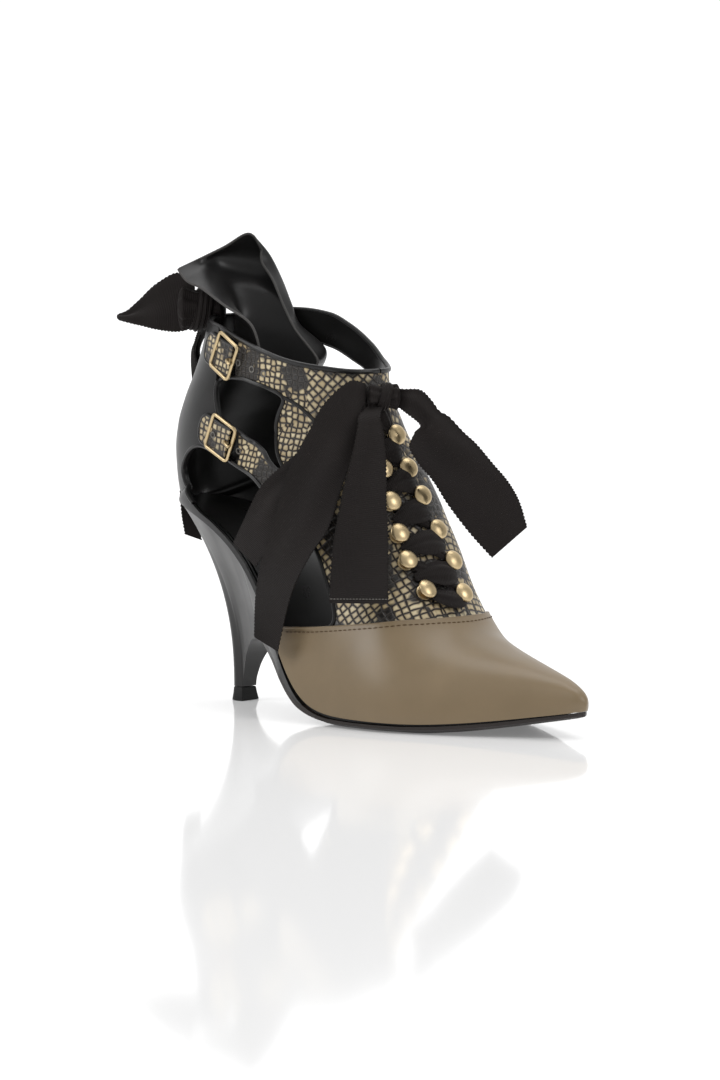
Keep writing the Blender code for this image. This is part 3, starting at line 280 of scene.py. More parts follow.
def smooth(table, x, column=1):
    """Monotone cubic through one column of a table, read at x."""
    xs = np.array([row[0] for row in table], float)
    ys = np.array([row[column] for row in table], float)
    x = np.clip(np.asarray(x, float), xs[0], xs[-1])
    h = np.diff(xs)
    d = np.diff(ys) / h
    m = np.zeros_like(xs)
    for k in range(1, len(xs) - 1):
        if d[k - 1] * d[k] > 0:
            w1 = 2 * h[k] + h[k - 1]
            w2 = h[k] + 2 * h[k - 1]
            m[k] = (w1 + w2) / (w1 / d[k - 1] + w2 / d[k])
    m[0] = d[0]
    m[-1] = d[-1]
    k = np.clip(np.searchsorted(xs, x, side="right") - 1, 0, len(h) - 1)
    t = (x - xs[k]) / h[k]
    a = (2 * t**3 - 3 * t**2 + 1) * ys[k] + (t**3 - 2 * t**2 + t) * h[k] * m[k]
    return a + (3 * t**2 - 2 * t**3) * ys[k + 1] + (t**3 - t**2) * h[k] * m[k + 1]


def half_width(x, side):
    return smooth(OUTLINE, x, 1 if side < 0 else 2)


def bottom_z(x, y=0.0):
    return smooth(BOTTOM_LINE, x) + smooth(BOTTOM_TILT, x) * y


def last_columns():
    """Columns of the last's sections, closely spaced and faired where the sections are regular."""
    rows = []
    for bx, tx, tz, ridge, bulge_o, bulge_i, lift, crown_o, crown_i in FOOT_SECTIONS:
        outer = float(half_width(bx, -1))
        inner = float(half_width(bx, 1))
        tilt = float(smooth(BOTTOM_TILT, bx))
        rows.append((bx, float(smooth(BOTTOM_LINE, bx)), tx, tz, ridge, outer, inner, outer + bulge_o,
                     inner + bulge_i, lift, crown_o, crown_i, tilt))
    for bx, bz, tx, tz, ridge, low, crown_o, crown_i in ANKLE_SECTIONS:
        rows.append((bx, bz, tx, tz, ridge, 0.0, 0.0, low, low, 0.0, crown_o, crown_i, 0.0))
    table = [(float(k),) + row for k, row in enumerate(rows)]
    step, reach, spread = 0.05, 24, 0.4
    s = np.arange(0, LAST_ROW + step / 2, step)
    weight = np.exp(-0.5 * (np.arange(-reach, reach + 1) * step / spread)**2)
    weight /= weight.sum()
    share = np.clip((s - 1.5) / 1.5, 0, 1) * np.clip(17 - s, 0, 1)
    columns = []
    for c in range(1, len(table[0])):
        col = smooth(table, s, c)
        wide = np.concatenate([2 * col[0] - col[reach:0:-1], col, 2 * col[-1] - col[-2:-reach - 2:-1]])
        columns.append(col + share * (np.convolve(wide, weight, "valid") - col))
    return s, columns


DENSE_S, DENSE_COLUMNS = last_columns()


def last_point(s, q):
    """Points of the last at rows s; q goes from -1, the outer edge, over 0, the ridge, to 1, the inner edge."""
    s = np.asarray(s, float)
    q = np.asarray(q, float)
    columns = [np.interp(s, DENSE_S, c) for c in DENSE_COLUMNS]
    bx, bz, tx, tz, ridge, wo, wi, lo, li, lift, co, ci, tilt = columns
    outer = q < 0
    side = np.where(outer, -1.0, 1.0)
    t = 1 - np.abs(q)
    y0 = side * np.where(outer, wo, wi)
    y1 = side * np.where(outer, lo, li)
    y2 = ridge + side * np.where(outer, co, ci)
    y = (1 - t)**3 * y0 + 3 * (1 - t)**2 * t * y1 + 3 * (1 - t) * t**2 * y2 + t**3 * ridge
    v = 3 * (1 - t)**2 * t * lift + 3 * (1 - t) * t**2 + t**3
    z0 = bz + tilt * y0
    x = bx + (tx - bx) * v
    z = z0 + (tz - z0) * v
    ahead = np.clip((x - TUCK_FROM) / (LENGTH - TUCK_FROM), 0, 1)
    x = x - TIP_TUCK * ahead**2 * np.clip(1 - (z - z0) / TUCK_HEIGHT, 0, 1)**2
    return np.stack([x, y, z], -1)


def last_normal(s, q):
    """Outward normals, the mean of both sides' where these meet, at the back and at the toe's tip."""
    s = np.asarray(s, float)
    q = np.asarray(q, float)
    step_s, step_q, edge = 0.06, 0.015, 0.985
    meet = ((np.abs(q) > 0.999) & (s >= SEAT_ROW)) | (s <= 0.0)
    total = 0.0
    for sign in (1.0, -1.0):
        ss = np.clip(s, step_s, LAST_ROW - step_s)
        qq = np.clip(sign * q, -edge, edge)
        ds = last_point(ss + step_s, qq) - last_point(ss - step_s, qq)
        dq = last_point(ss, qq + step_q) - last_point(ss, qq - step_q)
        n = np.cross(dq, ds)
        n = n / np.linalg.norm(n, axis=-1, keepdims=True)
        total = total + n * np.where(meet | (sign > 0), 1.0, 0.0)[..., None]
    return total / np.linalg.norm(total, axis=-1, keepdims=True)


def last_offset(s, q, out):
    """Points above the last; near the bottom edge they move out level."""
    s = np.asarray(s, float)
    q = np.asarray(q, float)
    n = last_normal(s, q)
    level = np.clip((np.abs(q) - 0.75) / 0.25, 0, 1) * np.clip(SEAT_ROW + 1 - s, 0, 1)
    n = n * np.stack([np.ones_like(level), np.ones_like(level), 1 - level], -1)
    n = n / np.linalg.norm(n, axis=-1, keepdims=True)
    return last_point(s, q) + np.asarray(out, float)[..., None] * n


def find_on_last(x, z, side):
    """Rows and places round the last of the points that stand at x, z on one side."""
    x = np.atleast_1d(np.asarray(x, float))
    z = np.atleast_1d(np.asarray(z, float))
    rows, places = np.linspace(2, LAST_ROW - 0.1, 160), np.linspace(0.02, 0.985, 70) * side
    ss, qq = np.meshgrid(rows, places, indexing="ij")
    step_s, step_q = 0.02, 0.003
    p = last_point(ss, qq).reshape(-1, 3)
    k = np.argmin((p[None, :, 0] - x[:, None])**2 + (p[None, :, 2] - z[:, None])**2, axis=1)
    s = ss.ravel()[k]
    q = qq.ravel()[k]
    for _ in range(20):
        here = last_point(s, q)[:, [0, 2]]
        ds = (last_point(s + step_s, q)[:, [0, 2]] - here) / step_s
        dq = (last_point(s, q + step_q)[:, [0, 2]] - here) / step_q
        ex = x - here[:, 0]
        ez = z - here[:, 1]
        det = ds[:, 0] * dq[:, 1] - ds[:, 1] * dq[:, 0]
        det = np.where(np.abs(det) < 1e-6, 1e-6, det)
        s = np.clip(s + np.clip((ex * dq[:, 1] - ez * dq[:, 0]) / det, -0.2, 0.2), 0.1, LAST_ROW - 0.1)
        q = np.clip(q + np.clip((ds[:, 0] * ez - ds[:, 1] * ex) / det, -0.05, 0.05), -1, 1)
    return s, q


def relaxed(points, start, rounds):
    """Flat places of a grid of points, moved until neighbours are as far apart as on the last."""
    here, ahead, every = slice(None, -1), slice(1, None), slice(None)
    pairs = [((here, every), (ahead, every)), ((every, here), (every, ahead)), ((here, here), (ahead, ahead)),
             ((here, ahead), (ahead, here))]
    rest = [np.linalg.norm(points[b] - points[a], axis=-1) for a, b in pairs]
    flat = start.copy()
    for _ in range(rounds):
        move = np.zeros_like(flat)
        for (a, b), length in zip(pairs, rest):
            span = flat[b] - flat[a]
            far = np.maximum(np.linalg.norm(span, axis=-1), 1e-6)
            pull = (0.5 * (far - length) / far)[..., None] * span
            move[a] += pull
            move[b] -= pull
        flat += 0.25 * move
    return flat


FLAT_ROWS = np.linspace(2, LAST_ROW - 0.2, 61)
FLAT_PLACES = np.linspace(0, 1, 25)
FLAT = {}
for flat_side in (-1, 1):
    flat_grid = last_point(*np.meshgrid(FLAT_ROWS, FLAT_PLACES * flat_side, indexing="ij"))
    FLAT[flat_side] = relaxed(flat_grid, flat_grid[..., [0, 2]], 400)


def flat_place(s, q):
    """Pattern coordinates in millimetres of places on the last, each side flattened by itself."""
    i = np.clip((s - FLAT_ROWS[0]) / (FLAT_ROWS[1] - FLAT_ROWS[0]), 0, len(FLAT_ROWS) - 1.001)
    j = np.clip(np.abs(q) / FLAT_PLACES[1], 0, len(FLAT_PLACES) - 1.001)
    a, b = i.astype(int), j.astype(int)
    f, g = (i - a)[:, None], (j - b)[:, None]
    out = np.zeros((len(s), 2))
    for side in (-1, 1):
        t = FLAT[side]
        here = (t[a, b] * (1 - f) + t[a + 1, b] * f) * (1 - g)
        here = here + (t[a, b + 1] * (1 - f) + t[a + 1, b + 1] * f) * g
        out = np.where((q * side > 0)[:, None] | ((q == 0)[:, None] & (side < 0)), here, out)
    return out


def rounded(points, closed=True, steps=3):
    """Points along a smooth curve through the given ones."""
    p = np.array(points, float)
    n = len(p)
    out = []
    for k in range(n if closed else n - 1):
        if closed:
            a, b, c, d = p[k - 1], p[k], p[(k + 1) % n], p[(k + 2) % n]
        else:
            a, b, c, d = p[max(k - 1, 0)], p[k], p[k + 1], p[min(k + 2, n - 1)]
        for i in range(steps):
            t = i / steps
            out.append(0.5 * (2 * b + (c - a) * t + (2 * a - 5 * b + 4 * c - d) * t**2
                              + (3 * b - a - 3 * c + d) * t**3))
    if not closed:
        out.append(p[-1])
    return np.array(out)


def even(points, spacing):
    """The same line with points at an even spacing."""
    p = np.asarray(points, float)
    far = np.concatenate([[0], np.cumsum(np.linalg.norm(np.diff(p, axis=0), axis=1))])
    at = np.linspace(0, far[-1], max(2, int(round(far[-1] / spacing)) + 1))
    return np.stack([np.interp(at, far, p[:, k]) for k in range(p.shape[1])], -1)


# Materials.

def material(name, colour, rough, metallic=0.0, coat=0.0, coat_rough=0.1, sheen=0.0, specular=0.5):
    mat = bpy.data.materials.new(name)
    mat.use_nodes = True
    values = {"Base Color": (*colour, 1), "Roughness": rough, "Metallic": metallic, "Coat Weight": coat,
              "Coat Roughness": coat_rough, "Sheen Weight": sheen, "Sheen Roughness": 0.4,
              "Specular IOR Level": specular}
    for socket, value in values.items():
        mat.node_tree.nodes["Principled BSDF"].inputs[socket].default_value = value
    mat.diffuse_color = (*colour, 1)
    return mat


def node(mat, kind, **settings):
    n = mat.node_tree.nodes.new(kind)
    for key, value in settings.items():
        setattr(n, key, value)
    return n


def link(mat, a, b):
    mat.node_tree.links.new(a, b)


def coordinates(mat, scale, flat=False, turn=0.0):
    """Object coordinates, or the flat pattern coordinates in millimetres, times scale."""
    if flat:
        source = node(mat, "ShaderNodeUVMap", uv_map="flat").outputs["UV"]
    else:
        source = node(mat, "ShaderNodeTexCoord").outputs["Object"]
    mapping = node(mat, "ShaderNodeMapping")
    mapping.inputs["Scale"].default_value = (scale, scale, scale) if np.isscalar(scale) else scale
    mapping.inputs["Rotation"].default_value = (0, 0, turn)
    link(mat, source, mapping.inputs["Vector"])
    return mapping.outputs["Vector"]


def noise(mat, vector, detail):
    n = node(mat, "ShaderNodeTexNoise")
    n.inputs["Scale"].default_value = 1.0
    n.inputs["Detail"].default_value = detail
    link(mat, vector, n.inputs["Vector"])
    return n.outputs["Fac"]


def voronoi(mat, vector, feature, jitter=1.0, dims="3D"):
    n = node(mat, "ShaderNodeTexVoronoi", feature=feature, voronoi_dimensions=dims)
    n.inputs["Scale"].default_value = 1.0
    n.inputs["Randomness"].default_value = jitter
    link(mat, vector, n.inputs["Vector"])
    return n


def ramp(mat, value, stops):
    """Colour ramp with stops of place and colour, or of place and grey."""
    n = node(mat, "ShaderNodeValToRGB")
    while len(n.color_ramp.elements) < len(stops):
        n.color_ramp.elements.new(0.5)
    for element, (place, colour) in zip(n.color_ramp.elements, stops):
        element.position = place
        element.color = (colour, colour, colour, 1) if np.isscalar(colour) else (*colour, 1)
    link(mat, value, n.inputs["Fac"])
    return n.outputs["Color"]


def calc(mat, operation, a, b=None):
    n = node(mat, "ShaderNodeMath", operation=operation)
    for k, value in enumerate((a, b)):
        if value is None:
            continue
        if np.isscalar(value):
            n.inputs[k].default_value = value
        else:
            link(mat, value, n.inputs[k])
    return n.outputs["Value"]


def mix(mat, share, a, b):
    n = node(mat, "ShaderNodeMix", data_type="RGBA")
    for key, kind, value in (("Factor", "VALUE", share), ("A", "RGBA", a), ("B", "RGBA", b)):
        socket = [i for i in n.inputs if i.name == key and i.type == kind][0]
        if isinstance(value, (int, float)):
            socket.default_value = value
        elif isinstance(value, tuple):
            socket.default_value = (*value, 1)
        else:
            link(mat, value, socket)
    return [o for o in n.outputs if o.type == "RGBA"][0]


def bump(mat, height, strength, distance):
    n = node(mat, "ShaderNodeBump")
    n.inputs["Strength"].default_value = strength
    n.inputs["Distance"].default_value = distance
    link(mat, height, n.inputs["Height"])
    link(mat, n.outputs["Normal"], mat.node_tree.nodes["Principled BSDF"].inputs["Normal"])


def to_shader(mat, value, socket):
    link(mat, value, mat.node_tree.nodes["Principled BSDF"].inputs[socket])


def leather(name, colour, rough, coat, grain, depth, specular=0.5):
    """Smooth leather: fine pebble grain, a little unevenness of tone and of gloss."""
    mat = material(name, colour, rough, coat=coat, coat_rough=0.25, specular=specular)
    fine = voronoi(mat, coordinates(mat, 1000 / grain), "F1", 0.9).outputs["Distance"]
    soft = noise(mat, coordinates(mat, 60), 4.0)
    light = tuple(min(1.0, c * 1.12) for c in colour)
    dark = tuple(c * 0.88 for c in colour)
    to_shader(mat, mix(mat, soft, dark, light), "Base Color")
    to_shader(mat, ramp(mat, soft, [(0.3, rough * 0.9), (0.7, min(1.0, rough * 1.12))]), "Roughness")
    bump(mat, fine, 0.25, depth * MM)
    return mat


def scales(mat, cell, turn, jitter):
    """Edge distance, with rounded corners, and two random tones of scales in the pattern coordinates."""
    place = coordinates(mat, (1 / cell, 1 / cell, 1.0), flat=True, turn=math.radians(turn))
    tint = node(mat, "ShaderNodeSeparateColor")
    cells = voronoi(mat, place, "F1", jitter, "2D")
    link(mat, cells.outputs["Color"], tint.inputs["Color"])
    edge = voronoi(mat, place, "DISTANCE_TO_EDGE", jitter, "2D").outputs["Distance"]
    corner = calc(mat, "MULTIPLY", calc(mat, "SUBTRACT", 0.66, cells.outputs["Distance"]), 0.9)
    return calc(mat, "MINIMUM", edge, corner), tint.outputs["Red"], tint.outputs["Green"]


def python_leather(name):
    """Snake skin: small scales behind, diamonds from the wing forward, and dark patches over both."""
    mat = material(name, (0.46, 0.36, 0.22), 0.42, coat=0.12, coat_rough=0.3)
    split = node(mat, "ShaderNodeSeparateXYZ")
    link(mat, coordinates(mat, 1.0, flat=True), split.inputs["Vector"])
    vamp = calc(mat, "GREATER_THAN", split.outputs["X"], DIAMONDS_FROM)
    both = []
    for small, large in zip(scales(mat, 2.8, 6, 0.42), scales(mat, 3.15, 45, 0.3)):
        both.append(calc(mat, "ADD", small, calc(mat, "MULTIPLY", vamp, calc(mat, "SUBTRACT", large, small))))
    edge, red, green = both
    place = node(mat, "ShaderNodeSeparateXYZ")
    link(mat, node(mat, "ShaderNodeUVMap", uv_map="tone").outputs["UV"], place.inputs["Vector"])
    patch = noise(mat, coordinates(mat, 1 / 15.0, flat=True), 2.5)
    tone = calc(mat, "ADD", patch, calc(mat, "MULTIPLY", calc(mat, "SUBTRACT", red, 0.5), 0.16))
    tone = calc(mat, "ADD", tone, place.outputs["X"])
    light = mix(mat, green, (0.46, 0.36, 0.20), (0.70, 0.60, 0.385))
    light = mix(mat, ramp(mat, edge, [(0.08, 0.0), (0.32, 1.0)]), (0.17, 0.12, 0.075), light)
    dark = mix(mat, ramp(mat, edge, [(0.1, 0.0), (0.24, 1.0)]), (0.075, 0.062, 0.05), (0.014, 0.012, 0.011))
    colour = mix(mat, ramp(mat, tone, [(0.46, 0.0), (0.53, 1.0)]), dark, light)
    gap = ramp(mat, edge, [(0.07, 0.0), (0.17, 1.0)])
    to_shader(mat, mix(mat, gap, (0.014, 0.011, 0.009), colour), "Base Color")
    bump(mat, ramp(mat, edge, [(0.0, 0.0), (0.12, 0.7), (0.4, 1.0)]), 0.8, 0.45 * MM)
    return mat


def grosgrain(name, colour, pitch, thread):
    """Ribbed ribbon: ribs at a pitch along it, and fine threads across it."""
    mat = material(name, colour, 0.66, sheen=0.03, specular=0.17)
    split = node(mat, "ShaderNodeSeparateXYZ")
    link(mat, coordinates(mat, 1.0, flat=True), split.inputs["Vector"])
    wave = calc(mat, "SINE", calc(mat, "MULTIPLY", split.outputs["Y"], 2 * math.pi / pitch))
    cross = calc(mat, "SINE", calc(mat, "MULTIPLY", split.outputs["X"], 2 * math.pi / thread))
    height = calc(mat, "ADD", wave, calc(mat, "MULTIPLY", cross, 0.25))
    soft = noise(mat, coordinates(mat, 45), 3.0)
    light = tuple(c * 1.35 for c in colour)
    to_shader(mat, mix(mat, soft, tuple(c * 0.75 for c in colour), light), "Base Color")
    bump(mat, height, 0.5, 0.12 * MM)
    return mat


def metal(name, colour, rough):
    mat = material(name, colour, rough, metallic=1.0)
    soft = noise(mat, coordinates(mat, 300), 3.0)
    to_shader(mat, ramp(mat, soft, [(0.3, rough * 0.8), (0.75, rough * 1.35)]), "Roughness")
    return mat


# Leathers: name, colour, roughness, coat, size and depth of the grain, specular level.
TAN = leather("tan_leather", (0.214, 0.156, 0.089), 0.4, 0.14, 0.9, 0.02, 0.42)
BLACK = leather("black_leather", (0.010, 0.0095, 0.0095), 0.36, 0.06, 0.8, 0.03, 0.32)
HEEL_BLACK = leather("heel_leather", (0.013, 0.012, 0.0118), 0.36, 0.08, 0.8, 0.02, 0.4)
LINING = leather("lining_leather", (0.008, 0.0077, 0.0075), 0.30, 0.05, 0.7, 0.03, 0.3)
SOLE = leather("sole_leather", (0.022, 0.0165, 0.0145), 0.42, 0.08, 0.8, 0.02, 0.35)
PYTHON = python_leather("python_leather")
PIPE = leather("piping_leather", (0.010, 0.0095, 0.0095), 0.36, 0.06, 0.6, 0.02, 0.35)
RAW = leather("raw_edge", (0.055, 0.052, 0.05), 0.6, 0.0, 0.5, 0.02, 0.3)
RIBBON = grosgrain("ribbon", (0.0118, 0.0092, 0.0085), 0.85, 0.5)
GOLD = metal("gold", (0.60, 0.47, 0.275), 0.34)
THREAD = leather("tan_thread", (0.085, 0.05, 0.022), 0.6, 0.0, 0.4, 0.02, 0.3)
GREY = leather("eyelet_grey", (0.16, 0.15, 0.135), 0.5, 0.0, 0.4, 0.01)
RUBBER = leather("top_piece_rubber", (0.010, 0.010, 0.010), 0.55, 0.0, 0.8, 0.02, 0.3)


# Mesh helpers.

def to_metres(points):
    p = np.asarray(points, float) * MM
    return p - np.array([BALL_X * MM, 0, 0])


def add_mesh(name, points, faces, mat, nodes=(), flat=None, angle=40, tone=None):
    """Piece on the root body, with pattern coordinates in flat, and edges over the angle left sharp."""
    mesh = bpy.data.meshes.new(name)
    mesh.from_pydata(to_metres(points).tolist(), [], [tuple(int(i) for i in f) for f in faces])
    mesh.validate()
    if flat is not None:
        index = np.zeros(len(mesh.loops), int)
        mesh.loops.foreach_get("vertex_index", index)
        layer = mesh.uv_layers.new(name="flat")
        layer.data.foreach_set("uv", np.asarray(flat, np.float32)[index].ravel())
        if tone is not None:
            layer = mesh.uv_layers.new(name="tone")
            layer.data.foreach_set("uv", np.stack([tone, tone], -1).astype(np.float32)[index].ravel())
    mesh.polygons.foreach_set("use_smooth", [True] * len(mesh.polygons))
    mesh.set_sharp_from_angle(angle=math.radians(angle))
    mesh.update()
    mesh.materials.append(mat)
    obj = bpy.data.objects.new(name, mesh)
    bpy.context.scene.collection.objects.link(obj)
    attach(obj, "root")
    if nodes:
        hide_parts(*nodes)
    return obj


def grid_faces(rows, columns, closed=False):
    i, j = np.meshgrid(np.arange(rows - 1), np.arange(columns if closed else columns - 1), indexing="ij")
    a, b = i * columns + j, i * columns + (j + 1) % columns
    return np.stack([a, b, b + columns, a + columns], -1).reshape(-1, 4)


def tube_faces(rows, columns, turned=False):
    """Faces of a closed strip of points and of the caps at both its ends."""
    first, last = range(columns), range((rows - 1) * columns, rows * columns)
    caps = [tuple(first), tuple(last[::-1])] if turned else [tuple(first[::-1]), tuple(last)]
    return [tuple(f) for f in grid_faces(rows, columns, closed=True)] + caps


def two_skins(points, normals, low, high):
    """Points and faces of a closed sheet over a grid of points."""
    rows, columns = points.shape[:2]
    top = (points + normals * high).reshape(-1, 3)
    bottom = (points + normals * low).reshape(-1, 3)
    n = rows * columns
    faces = [tuple(f) for f in grid_faces(rows, columns)]
    faces += [tuple(f[::-1] + n) for f in grid_faces(rows, columns)]
    ring = list(range(columns)) + [i * columns + columns - 1 for i in range(1, rows)]
    ring += [(rows - 1) * columns + j for j in range(columns - 2, -1, -1)]
    ring += [i * columns for i in range(rows - 2, 0, -1)]
    faces += [(b, a, a + n, b + n) for a, b in zip(ring, ring[1:] + ring[:1])]
    return np.vstack([top, bottom]), faces


def grid_normals(points):
    a = np.gradient(points, axis=0)
    b = np.gradient(points, axis=1)
    n = np.cross(a, b)
    return n / np.maximum(np.linalg.norm(n, axis=-1, keepdims=True), 1e-9)


def pattern(points):
    """Distances across and along a grid of points, for the points of both skins."""
    u = np.cumsum(np.linalg.norm(np.diff(points, axis=1), axis=-1), axis=1)
    v = np.cumsum(np.linalg.norm(np.diff(points, axis=0), axis=-1), axis=0)
    u, v = np.pad(u, ((0, 0), (1, 0))), np.pad(v, ((1, 0), (0, 0)))
    return np.tile(np.stack([u, v], -1).reshape(-1, 2), (2, 1))


def cloth(name, grid, half, mat):
    """Thin sheet over a grid of points, its area and its length."""
    points, faces = two_skins(grid, grid_normals(grid), -half, half)
    flat = pattern(grid)
    obj = add_mesh(name, points, faces, mat, [name], flat=flat, angle=60)
    along, across = np.gradient(grid, axis=0), np.gradient(grid, axis=1)
    area = float(np.linalg.norm(np.cross(along, across), axis=-1)[:-1, :-1].sum())
    return obj, area, float(np.median(flat[len(flat) // 2 - grid.shape[1]:len(flat) // 2, 1]))


def outside(outline, x, z):
    """Distance of points from an outline in side view, negative inside it."""
    a = np.asarray(outline, float)
    b = np.roll(a, -1, axis=0)
    shape = np.shape(x)
    p = np.stack([np.ravel(x), np.ravel(z)], -1)
    best = np.full(len(p), 1e9)
    crossings = np.zeros(len(p), int)
    for (ax, az), (bx, bz) in zip(a, b):
        d = np.array([bx - ax, bz - az])
        t = np.clip(((p[:, 0] - ax) * d[0] + (p[:, 1] - az) * d[1]) / max(d @ d, 1e-9), 0, 1)
        best = np.minimum(best, np.hypot(p[:, 0] - ax - t * d[0], p[:, 1] - az - t * d[1]))
        cut = (az > p[:, 1]) != (bz > p[:, 1])
        with np.errstate(divide="ignore", invalid="ignore"):
            crossings += cut & (p[:, 0] < ax + (p[:, 1] - az) * d[0] / (d[1] if d[1] else 1e-9))
    return np.where(crossings % 2 == 1, -best, best).reshape(shape)


def collar_z(x, y):
    f = np.clip((y + COLLAR_HALF) / (2 * COLLAR_HALF), 0, 1)
    f = f * f * (3 - 2 * f)
    return smooth(COLLAR_LINE, x, 1) * (1 - f) + smooth(COLLAR_LINE, x, 2) * f


def waist_outline(side):
    edge = [tuple(p) for p in rounded(WAIST_EDGE if side < 0 else WAIST_EDGE_INNER, closed=False, steps=4)]
    for x in [x for x in WAIST_RIM_X if side < 0 or x > WAIST_EDGE_INNER[0][0]]:
        edge.append((x, float(bottom_z(x, side * float(half_width(x, side)))) + RIM))
    return np.array(edge)


OPEN = {
    -1: [rounded(WINDOW_OUTER, steps=5), waist_outline(-1)],
    1: [rounded(WINDOW_INNER, steps=5), waist_outline(1)],
}
ABOVE_CAP = np.array(CAP_EDGE + [(186, 160), (60, 160), (60, 12)], float)


def open_field(p, q):
    """Positive on the leather, negative in the collar, the windows and the open waist."""
    field = collar_z(p[..., 0], p[..., 1]) - p[..., 2]
    for side in (-1, 1):
        for outline in OPEN[side]:
            far = outside(outline, p[..., 0], p[..., 2])
            field = np.where(q * side > 0.0, np.minimum(field, far), field)
    return field


def skin_tone(points):
    """Lighter or darker by place, from the short table of patches."""
    tone = np.zeros(len(points))
    for x, z, radius, depth in PATCHES:
        far = ((points[:, 0] - x)**2 + (points[:, 2] - z)**2) / radius**2
        tone += depth * np.exp(-far**2) * (points[:, 1] < PATCH_LIMIT_Y)
    return tone


def border(faces):
    """Edges that only one face has."""
    edges = {}
    for t in faces:
        for i, j in zip(t, t[1:] + t[:1]):
            if (j, i) in edges:
                del edges[(j, i)]
            else:
                edges[(i, j)] = True
    return list(edges)


def panel(name, low, high, field, rows, places, mat, nodes=()):
    """Sheet of leather on the last where the field is positive, between two distances from the last.

    The triangles that the field's edge crosses are cut there. Points are welded where both sides meet.
    """
    s, q = np.meshgrid(rows, places, indexing="ij")
    f = field(last_point(s, q), q)
    middle = len(places) // 2
    ids = np.arange(s.size).reshape(s.shape)
    weld = ids.copy()
    if places[0] == -1 and places[-1] == 1:
        weld[rows >= SEAT_ROW, -1] = weld[rows >= SEAT_ROW, 0]
    if rows[0] == 0:
        weld[0, middle + 1:] = weld[0, :middle][::-1]
    weld = list(weld.ravel())
    a, b, c, d = ids[:-1, :-1], ids[:-1, 1:], ids[1:, 1:], ids[1:, :-1]
    left = (q[:-1, :-1] < 0)[..., None]
    first = np.where(left, np.stack([a, b, c], -1), np.stack([b, c, d], -1)).reshape(-1, 3)
    second = np.where(left, np.stack([a, c, d], -1), np.stack([b, d, a], -1)).reshape(-1, 3)
    triangles = np.vstack([first, second])
    ss, qq, ff = [list(x.ravel()) for x in (s, q, f)]
    inside = f.ravel()[triangles] > 0
    count = inside.sum(axis=1)
    faces = [tuple(t) for t in triangles[count == 3]]
    made = {}

    def crossing(i, j):
        key = (min(i, j), max(i, j))
        if key not in made:
            t = ff[i] / (ff[i] - ff[j])
            for x in (ss, qq):
                x.append(x[i] + (x[j] - x[i]) * t)
            ff.append(0.0)
            made[key] = len(ss) - 1
            weld.append(made[key])
        return made[key]

    for t, ins in zip(triangles[(count > 0) & (count < 3)], inside[(count > 0) & (count < 3)]):
        ring = []
        for k in range(3):
            i, j = int(t[k]), int(t[(k + 1) % 3])
            if ins[k]:
                ring.append(i)
            if ins[k] != ins[(k + 1) % 3]:
                ring.append(crossing(i, j))
        for k in range(1, len(ring) - 1):
            faces.append((ring[0], ring[k], ring[k + 1]))
    faces = [tuple(weld[i] for i in t) for t in faces]
    faces = [t for t in faces if len(set(t)) == 3]
    used = sorted({i for t in faces for i in t})
    number = {i: k for k, i in enumerate(used)}
    faces = [tuple(number[i] for i in t) for t in faces]
    ss, qq = np.array(ss)[used], np.array(qq)[used]
    flat = flat_place(ss, qq)
    n = len(used)
    solid = faces + [(t[2] + n, t[1] + n, t[0] + n) for t in faces]
    solid += [(j, i, i + n, j + n) for i, j in border(faces)]
    top = high(last_point(ss, qq), qq) if callable(high) else np.full(n, high)
    points = np.vstack([last_offset(ss, qq, top), last_offset(ss, qq, np.full(n, low))])
    tone = np.tile(skin_tone(points[:n]), 2) if mat is PYTHON else None
    return add_mesh(name, points, solid, mat, nodes, flat=np.vstack([flat, flat]), tone=tone)


def rings(path, radius, sides, closed=False, flatten=1.0, up=None):
    """Points and faces of a tube along a path."""
    p = np.asarray(path, float)
    if closed:
        tangent = np.roll(p, -1, axis=0) - np.roll(p, 1, axis=0)
    else:
        tangent = np.gradient(p, axis=0)
    tangent /= np.maximum(np.linalg.norm(tangent, axis=1, keepdims=True), 1e-9)
    if up is None:
        side = np.zeros_like(p)
        ref = np.array([0.0, 0.0, 1.0]) if abs(tangent[0, 2]) < 0.9 else np.array([1.0, 0.0, 0.0])
        for k in range(len(p)):
            ref = ref - tangent[k] * (ref @ tangent[k])
            ref /= max(np.linalg.norm(ref), 1e-9)
            side[k] = ref
    else:
        side = np.asarray(up, float)
        side = side - tangent * np.sum(side * tangent, axis=1, keepdims=True)
        side /= np.maximum(np.linalg.norm(side, axis=1, keepdims=True), 1e-9)
    other = np.cross(tangent, side)
    turn = np.linspace(0, 2 * math.pi, sides, endpoint=False)
    r = np.broadcast_to(np.asarray(radius, float), (len(p),))[:, None, None]
    pts = (p[:, None, :] + r * (np.cos(turn)[None, :, None] * side[:, None, :] * flatten
                                + np.sin(turn)[None, :, None] * other[:, None, :])).reshape(-1, 3)
    if not closed:
        return pts, tube_faces(len(p), sides)
    n = (len(p) - 1) * sides
    faces = [tuple(f) for f in grid_faces(len(p), sides, closed=True)]
    return pts, faces + [(n + j, n + (j + 1) % sides, (j + 1) % sides, j) for j in range(sides)]


def joined(parts):
    """One list of points and faces from several."""
    points, faces, start = [], [], 0
    for p, f in parts:
        points.append(np.asarray(p, float))
        faces += [tuple(int(i) + start for i in face) for face in f]
        start += len(p)
    return np.vstack(points), faces


